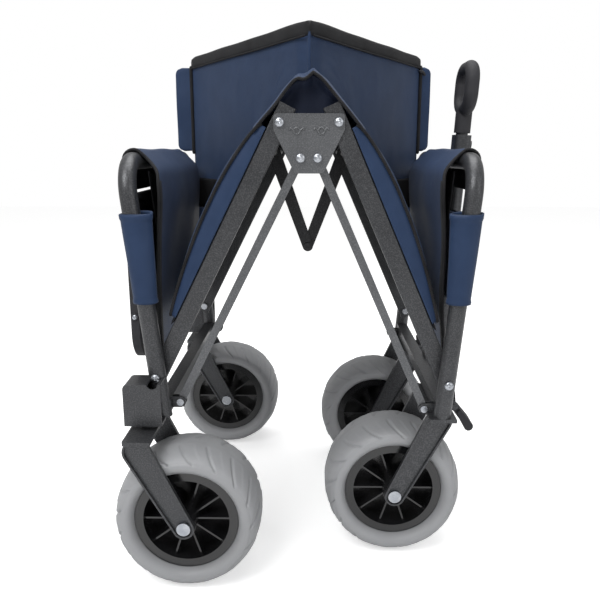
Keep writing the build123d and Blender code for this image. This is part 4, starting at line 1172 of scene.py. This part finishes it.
# ---------------------------------------------------------------- cloth over the middle
@dataclass
class ApexCloth:
    """Near wall's cloth where it peaks over the side plate, one half for each pair of rails."""

    layout: Layout
    near_y: float = -0.2405
    inner_y: float = -0.104

    def line(self, end: End) -> np.ndarray:
        """Edge of the cloth from the rail up to the peak.

        Args:
            end: Which half.

        Returns:
            Points of (distance from the middle, height).
        """
        if end is End.FRONT:
            corners = [(-0.0850, 0.7335), (-0.070, 0.751), (-0.054, 0.768), (-0.036, 0.792), (-0.019, 0.811),
                       (-0.0075, 0.8065), (0.006, 0.818)]
        else:
            corners = [(0.0850, 0.7310), (0.069, 0.751), (0.053, 0.770), (0.034, 0.792), (0.019, 0.8095),
                       (0.006, 0.818)]
        return rounded(np.array(corners), 60, 2)

    def half(self, wardrobe: Wardrobe, end: End) -> list[bpy.types.Object]:
        """Builds one half of the peak with its piping.

        Inwards from its edge the cloth rises by a half sine, then falls slowly, and three shallow folds run
        across it near the peak.

        Args:
            wardrobe: The finishes.
            end: Which half.

        Returns:
            The cloth and the piping.
        """
        lay = self.layout
        line = self.line(end)
        v = np.linspace(0.0, 1.0, 40)[None, :]
        x, z = line[:, :1], line[:, 1:]
        near_top = ramp(0.76, 0.815, z)
        lift = 0.0085 * np.sin(np.pi * np.clip(v * 2.2, 0, 1)) - 0.022 * v * v
        folds = 0.0022 * np.sin(150.0 * x + 14.0 * v) * near_top * np.clip(v * 5, 0, 1)
        y = self.near_y + (self.inner_y - self.near_y) * v
        sheet = points_of(lay.shift + x, y, z + lift + folds)
        cloth = wardrobe.sew(f"apex_cloth_{end.word}", sheet, 0.0028, "navy", None)
        path = points_of(lay.shift + line[:, 0], self.near_y - 0.0005, line[:, 1])
        piping = wardrobe.pipe(f"apex_piping_{end.word}", path, 0.0024, "webbing", None, (0, 1, 0))
        for piece in (cloth, piping):
            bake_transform(piece)
        return [cloth, piping]

    def build(self, wardrobe: Wardrobe) -> list[bpy.types.Object]:
        """Builds both halves, the lining under the peak in a darker navy that paints its shade, and the black saddle
        between the floor boards.
        """
        lay = self.layout
        pieces = self.half(wardrobe, End.FRONT) + self.half(wardrobe, End.REAR)
        top = np.concatenate([self.line(End.FRONT), self.line(End.REAR)[::-1][1:]])
        x = np.linspace(-0.050, 0.052, 60)[:, None]
        high = np.interp(x[:, 0], top[:, 0], top[:, 1])[:, None] - 0.001
        v = np.linspace(0.0, 1.0, 30)[None, :]
        z = 0.735 + (high - 0.735) * v
        fold = 0.0022 * np.sin(170.0 * x) * v + 0.006 * v
        sheet = points_of(lay.shift + x, -0.2205 + fold - 0.010 * ramp(0.80, 1.0, v), z)
        # The lining's darker navy is painted shade, not a different cloth colour.
        lining = wardrobe.sew("apex_lining", sheet, 0.0016, "navy_inner", "centre")
        pieces.append(lining)
        for end in End:
            share = np.linspace(0.0, 1.0, 30)[:, None]
            y = np.linspace(-0.205, 0.205, 40)[None, :]
            first = lay.on_rail(end, np.full_like(share, 0.030), np.zeros_like(share), np.full_like(share, 0.0172))
            x = first[..., 0] + (lay.shift - first[..., 0]) * share
            z = first[..., 2] + (0.7660 - first[..., 2]) * ramp(0.0, 1.0, share)
            saddle = points_of(x, y, z)
            cloth = wardrobe.sew(f"floor_saddle_{end.word}", saddle, 0.0018, "black_cloth", None)
            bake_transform(cloth)
            pieces.append(cloth)
        return pieces


@dataclass
class CornerCloth:
    """Black cloth that closes the gap between an end wall and the far wall's zip strip, and the hood's back."""

    end: End
    layout: Layout
    far: float = 0.212
    foot: float = 0.392
    head: float = 0.655
    hood_near: float = -0.188
    hood_foot: float = 0.560
    hood_head: float = 0.672

    def build(self, wardrobe: Wardrobe) -> bpy.types.Object:
        """Builds the upright sheet, with shallow folds that run down it, and the back of the hood beside it."""
        lay, end = self.layout, self.end
        near = 0.150 if end is End.FRONT else 0.136
        z = np.linspace(self.foot, self.head, 40)[:, None]
        s = np.linspace(0.0, 1.0, 24)[None, :]
        y = near + (self.far - near) * s
        inset = 0.012 + 0.018 * ramp(0.39, 0.62, z) * (1 - 0.7 * s)
        wave = 0.0018 * np.sin(22.0 * s + 6.0 * z)
        x = lay.leg_x(end, z) - end.value * (inset + wave)
        sheet = points_of(x, y, z)
        cloth = wardrobe.sew(f"corner_cloth_{end.word}", sheet, 0.002, "black_cloth", f"{end.word}_frame")
        y = np.linspace(self.hood_near, near, 40)[:, None]
        z = np.linspace(self.hood_foot, self.hood_head, 12)[None, :]
        x = lay.leg_x(end, z) - end.value * (0.0185 + 0.0008 * np.sin(25 * y))
        lining = points_of(x, y, z)
        back = wardrobe.sew(f"hood_back_{end.word}", lining, 0.0016, "black_cloth", f"{end.word}_frame")
        return cloth


# ---------------------------------------------------------------- small hardware
@dataclass
class Hardware:
    """Domed heads over rivets and bolts, pressed marks in the side plates, zip pull and tray bolts."""

    layout: Layout
    rivet_radius: float = 0.0068
    plate_face: float = 0.246
    leg_face: float = 0.2725
    mark_height: float = 0.7335
    mark_face: float = 0.2430
    ring_radius: float = 0.0048

    def dome(self, name: str, place: Point, out: float, radius: float, rise: float) -> bpy.types.Object:
        """Builds a domed head with a small drive recess, facing along Y.

        The profile is a quarter oval from the rim to the recess's edge, then down into the recess.

        Args:
            name: The head's name.
            place: Middle of the face that it sits on.
            out: -1 to face the near side, 1 the far side.
            radius: Radius at the rim.
            rise: Height of the crown.

        Returns:
            The head.
        """
        turn = np.linspace(0.0, np.pi / 2, 8)
        dome = np.stack([rise * np.sin(turn), np.maximum(radius * np.cos(turn), radius * 0.3)], axis=1)
        pit = np.array([[rise * 0.99, radius * 0.25], [rise * 0.8, radius * 0.16], [rise * 0.78, 0.0]])
        skirt = np.array([[-0.0002, 0.0], [-0.0002, radius]])
        return turned(name, np.concatenate([skirt, dome, pit]), place, (0.0, out, 0.0), 24)

    def heads(self, wardrobe: Wardrobe) -> None:
        """Caps every rivet of both side plates, and the leg pivots."""
        lay = self.layout
        pivots = [(-0.045, 0.746), (0.045, 0.746), (-0.013, 0.693), (0.013, 0.693)]
        for side in Side:
            out = side.value
            for number, (x, z) in enumerate(pivots):
                place = (lay.shift + x, out * self.plate_face, z)
                head = self.dome(f"rivet_head_{side.word}_{number}", place, out, self.rivet_radius, 0.0028)
                wardrobe.dress(head, "zinc", "centre")
            for end, (x, z) in ((End.FRONT, (-0.24603, 0.347)), (End.REAR, (0.22502, 0.3371))):
                place = (lay.shift + x, out * self.leg_face, z)
                head = self.dome(f"leg_bolt_head_{end.word}_{side.word}", place, out, self.rivet_radius, 0.003)
                wardrobe.dress(head, "zinc", f"{end.word}_frame")

    def pressed_marks(self, wardrobe: Wardrobe) -> None:
        """Presses a ring with two short wings into each upper part of both side plates."""
        t = np.linspace(0.0, 2 * np.pi, 25)[:-1]
        s = np.linspace(0.0, 1.0, 12)
        for side in Side:
            y = side.value * self.mark_face
            for word, offset in (("front", -0.0185), ("rear", 0.0185)):
                x, at = self.layout.shift + offset, f"{side.word}_{word}"
                ring = points_of(x + self.ring_radius * np.cos(t), y, self.mark_height + self.ring_radius * np.sin(t))
                wardrobe.pipe(f"plate_ring_{at}", ring, 0.0015, "enamel_pale", "centre", (0, 1, 0), closed=True)
                for sign, letter in ((-1, "l"), (1, "r")):
                    wing = points_of(x + sign * (0.0052 + 0.0058 * s), y,
                                     self.mark_height + 0.0038 * np.sin(np.pi * s * 0.8))
                    wardrobe.pipe(f"plate_wing_{at}_{letter}", wing, 0.0014, "enamel_pale", "centre", (0, 1, 0))

    def zip_pull(self, wardrobe: Wardrobe) -> None:
        """Hangs a slider and its pull at the rear end of the far wall's zip."""
        lay = self.layout
        a = np.linspace(0.004, 0.018, 8)
        slider = lay.on_wall(End.REAR, a, np.full_like(a, -0.0075), np.full_like(a, 0.8690))
        wardrobe.pipe("zip_slider", slider, 0.0042, "plastic", "wall_rear", (0, 0, 1), 10, 0.6)
        path = lay.on_wall(End.REAR, np.array([0.006, -0.001, -0.007, -0.012]), np.array([-0.010] * 4),
                           np.array([0.8675, 0.8645, 0.8590, 0.8525]))
        wardrobe.pipe("zip_pull", rounded(path, 14, 2), 0.0028, "plastic", "wall_rear", (0, 1, 0), 8, 0.5)

    def tray_bolts(self, wardrobe: Wardrobe) -> None:
        """Sets one bolt with its washer boss in each side rim of the tray."""
        low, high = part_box("front_tray")
        for side in Side:
            y = low[1] if side is Side.NEAR else high[1]
            place = ((low[0] + high[0]) / 2, y, 0.437)
            boss = turned(f"tray_boss_{side.word}", np.array([[-0.001, 0], [-0.001, 0.0068], [0.001, 0.0068],
                                                              [0.0016, 0.006], [0.0016, 0]]), place,
                          (0.0, side.value, 0.0), 28)
            wardrobe.dress(boss, "plastic", "tray")
            crown = (place[0], y + side.value * 0.0016, place[2])
            wardrobe.dress(self.dome(f"tray_bolt_{side.word}", crown, side.value, 0.0045, 0.002), "zinc", "tray")

    def build(self, wardrobe: Wardrobe) -> None:
        """Builds all the small hardware."""
        self.heads(wardrobe)
        self.pressed_marks(wardrobe)
        self.zip_pull(wardrobe)
        self.tray_bolts(wardrobe)


# ---------------------------------------------------------------- studio
@dataclass
class Studio:
    """Plain pale floor, soft lights and the camera."""

    floor_size: float = 14.0
    ambient: float = 0.5
    floor_glow: float = 0.5
    lens: float = 39.0
    eye: Point = (0.010, -1.257, 0.706)
    tilt: float = math.radians(90 - 13.04)
    pan: float = math.radians(0.945)

    def camera(self) -> None:
        """Places the camera: eye height, a little down and a touch towards the front end."""
        data = bpy.data.cameras.new("camera")
        data.lens, data.sensor_width = self.lens, 36.0
        data.clip_end = 60.0
        camera = bpy.data.objects.new("camera", data)
        camera.location = self.eye
        camera.rotation_euler = (self.tilt, 0.0, self.pan)
        bpy.context.scene.collection.objects.link(camera)
        bpy.context.scene.camera = camera

    def light(self, name: str, place: Point, aim: Point, size: float, power: float) -> None:
        """Adds one square soft light.

        Args:
            name: The light's name.
            place: Where it stands.
            aim: The point it faces.
            size: Side of its square.
            power: Power in watts.
        """
        data = bpy.data.lights.new(name, "AREA")
        data.size, data.energy = size, power
        lamp = bpy.data.objects.new(name, data)
        lamp.location = place
        away = np.array(place) - np.array(aim)
        lamp.rotation_euler = (math.atan2(math.hypot(away[0], away[1]), away[2]), 0.0,
                               math.atan2(away[0], -away[1]))
        bpy.context.scene.collection.objects.link(lamp)

    def build(self) -> None:
        """Builds the floor, the sky and the lights."""
        scene = bpy.context.scene
        scene.view_settings.view_transform = "Standard"
        world = bpy.data.worlds.new("studio_sky")
        world.use_nodes = True
        board = Board(world.node_tree)
        seen = board.add("LightPath").outputs["Is Camera Ray"]
        strength = board.maths("MULTIPLY_ADD", seen, 1.0 - self.ambient, self.ambient)
        sky = world.node_tree.nodes["Background"]
        sky.inputs[0].default_value = (1.0, 1.0, 1.0, 1.0)
        world.node_tree.links.new(strength, sky.inputs[1])
        scene.world = world
        half = self.floor_size / 2
        side = np.linspace(-half, half, 2)
        grid = np.stack(np.meshgrid(side, side, indexing="ij"), axis=-1).reshape(-1, 2)
        mesh = bpy.data.meshes.new("studio_floor")
        mesh.from_pydata([(float(x), float(y), 0.0) for x, y in grid], [], [(0, 2, 3, 1)])
        floor = bpy.data.objects.new("studio_floor", mesh)
        scene.collection.objects.link(floor)
        paint = bpy.data.materials.new("floor_paint")
        paint.use_nodes = True
        shader = paint.node_tree.nodes["Principled BSDF"]
        shader.inputs["Base Color"].default_value = (0.93, 0.93, 0.93, 1.0)
        shader.inputs["Roughness"].default_value = 0.9
        shader.inputs["Emission Color"].default_value = (1.0, 1.0, 1.0, 1.0)
        glow = Board(paint.node_tree)
        lit = glow.maths("MULTIPLY", glow.add("LightPath").outputs["Is Camera Ray"], self.floor_glow)
        paint.node_tree.links.new(lit, shader.inputs["Emission Strength"])
        mesh.materials.append(paint)
        self.light("key", place=(-1.1, -1.7, 2.5), aim=(0.0, 0.0, 0.5), size=1.5, power=46.0)
        self.light("fill", place=(2.2, -1.9, 1.6), aim=(0.0, 0.0, 0.4), size=2.0, power=14.0)
        self.light("top", place=(0.1, 0.3, 2.6), aim=(0.0, 0.0, 0.5), size=1.8, power=36.0)


def main() -> None:
    """Builds the whole scene and reports each piece."""
    logging.basicConfig(level=logging.INFO, format="%(name)s: %(message)s")
    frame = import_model()
    studio = Studio()
    studio.camera()
    studio.build()
    wardrobe = Wardrobe()
    wardrobe.coat_nodes(frame["nodes"], frame["record"])
    plate_low, plate_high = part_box("gusset_plate_near")
    layout = Layout(shift=(plate_low[0] + plate_high[0]) / 2)
    for end in End:
        for side in Side:
            low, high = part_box(f"{end.word}_tyre_{side.word}")
            tyre = BalloonTyre(f"{end.word}_{side.word}", f"{end.word}_wheel_{side.word}")
            tyre.build(wardrobe, (np.array(low) + np.array(high)) / 2)
            replaced = (f"{end.word}_leg_sleeves",) if side is Side.NEAR else ()
            LegSleeve(end, side, layout).build(wardrobe, replaced)
        EndWall(end, layout).build(wardrobe)
        FarWall(end, layout).build(wardrobe)
        SideStrip(end, layout).build(wardrobe)
        FloorHalf(end, layout).build(wardrobe)
        CornerCloth(end, layout).build(wardrobe)
    RearPocket(layout).build(wardrobe)
    ApexCloth(layout).build(wardrobe)
    Hardware(layout).build(wardrobe)


if __name__ == "__main__":
    main()
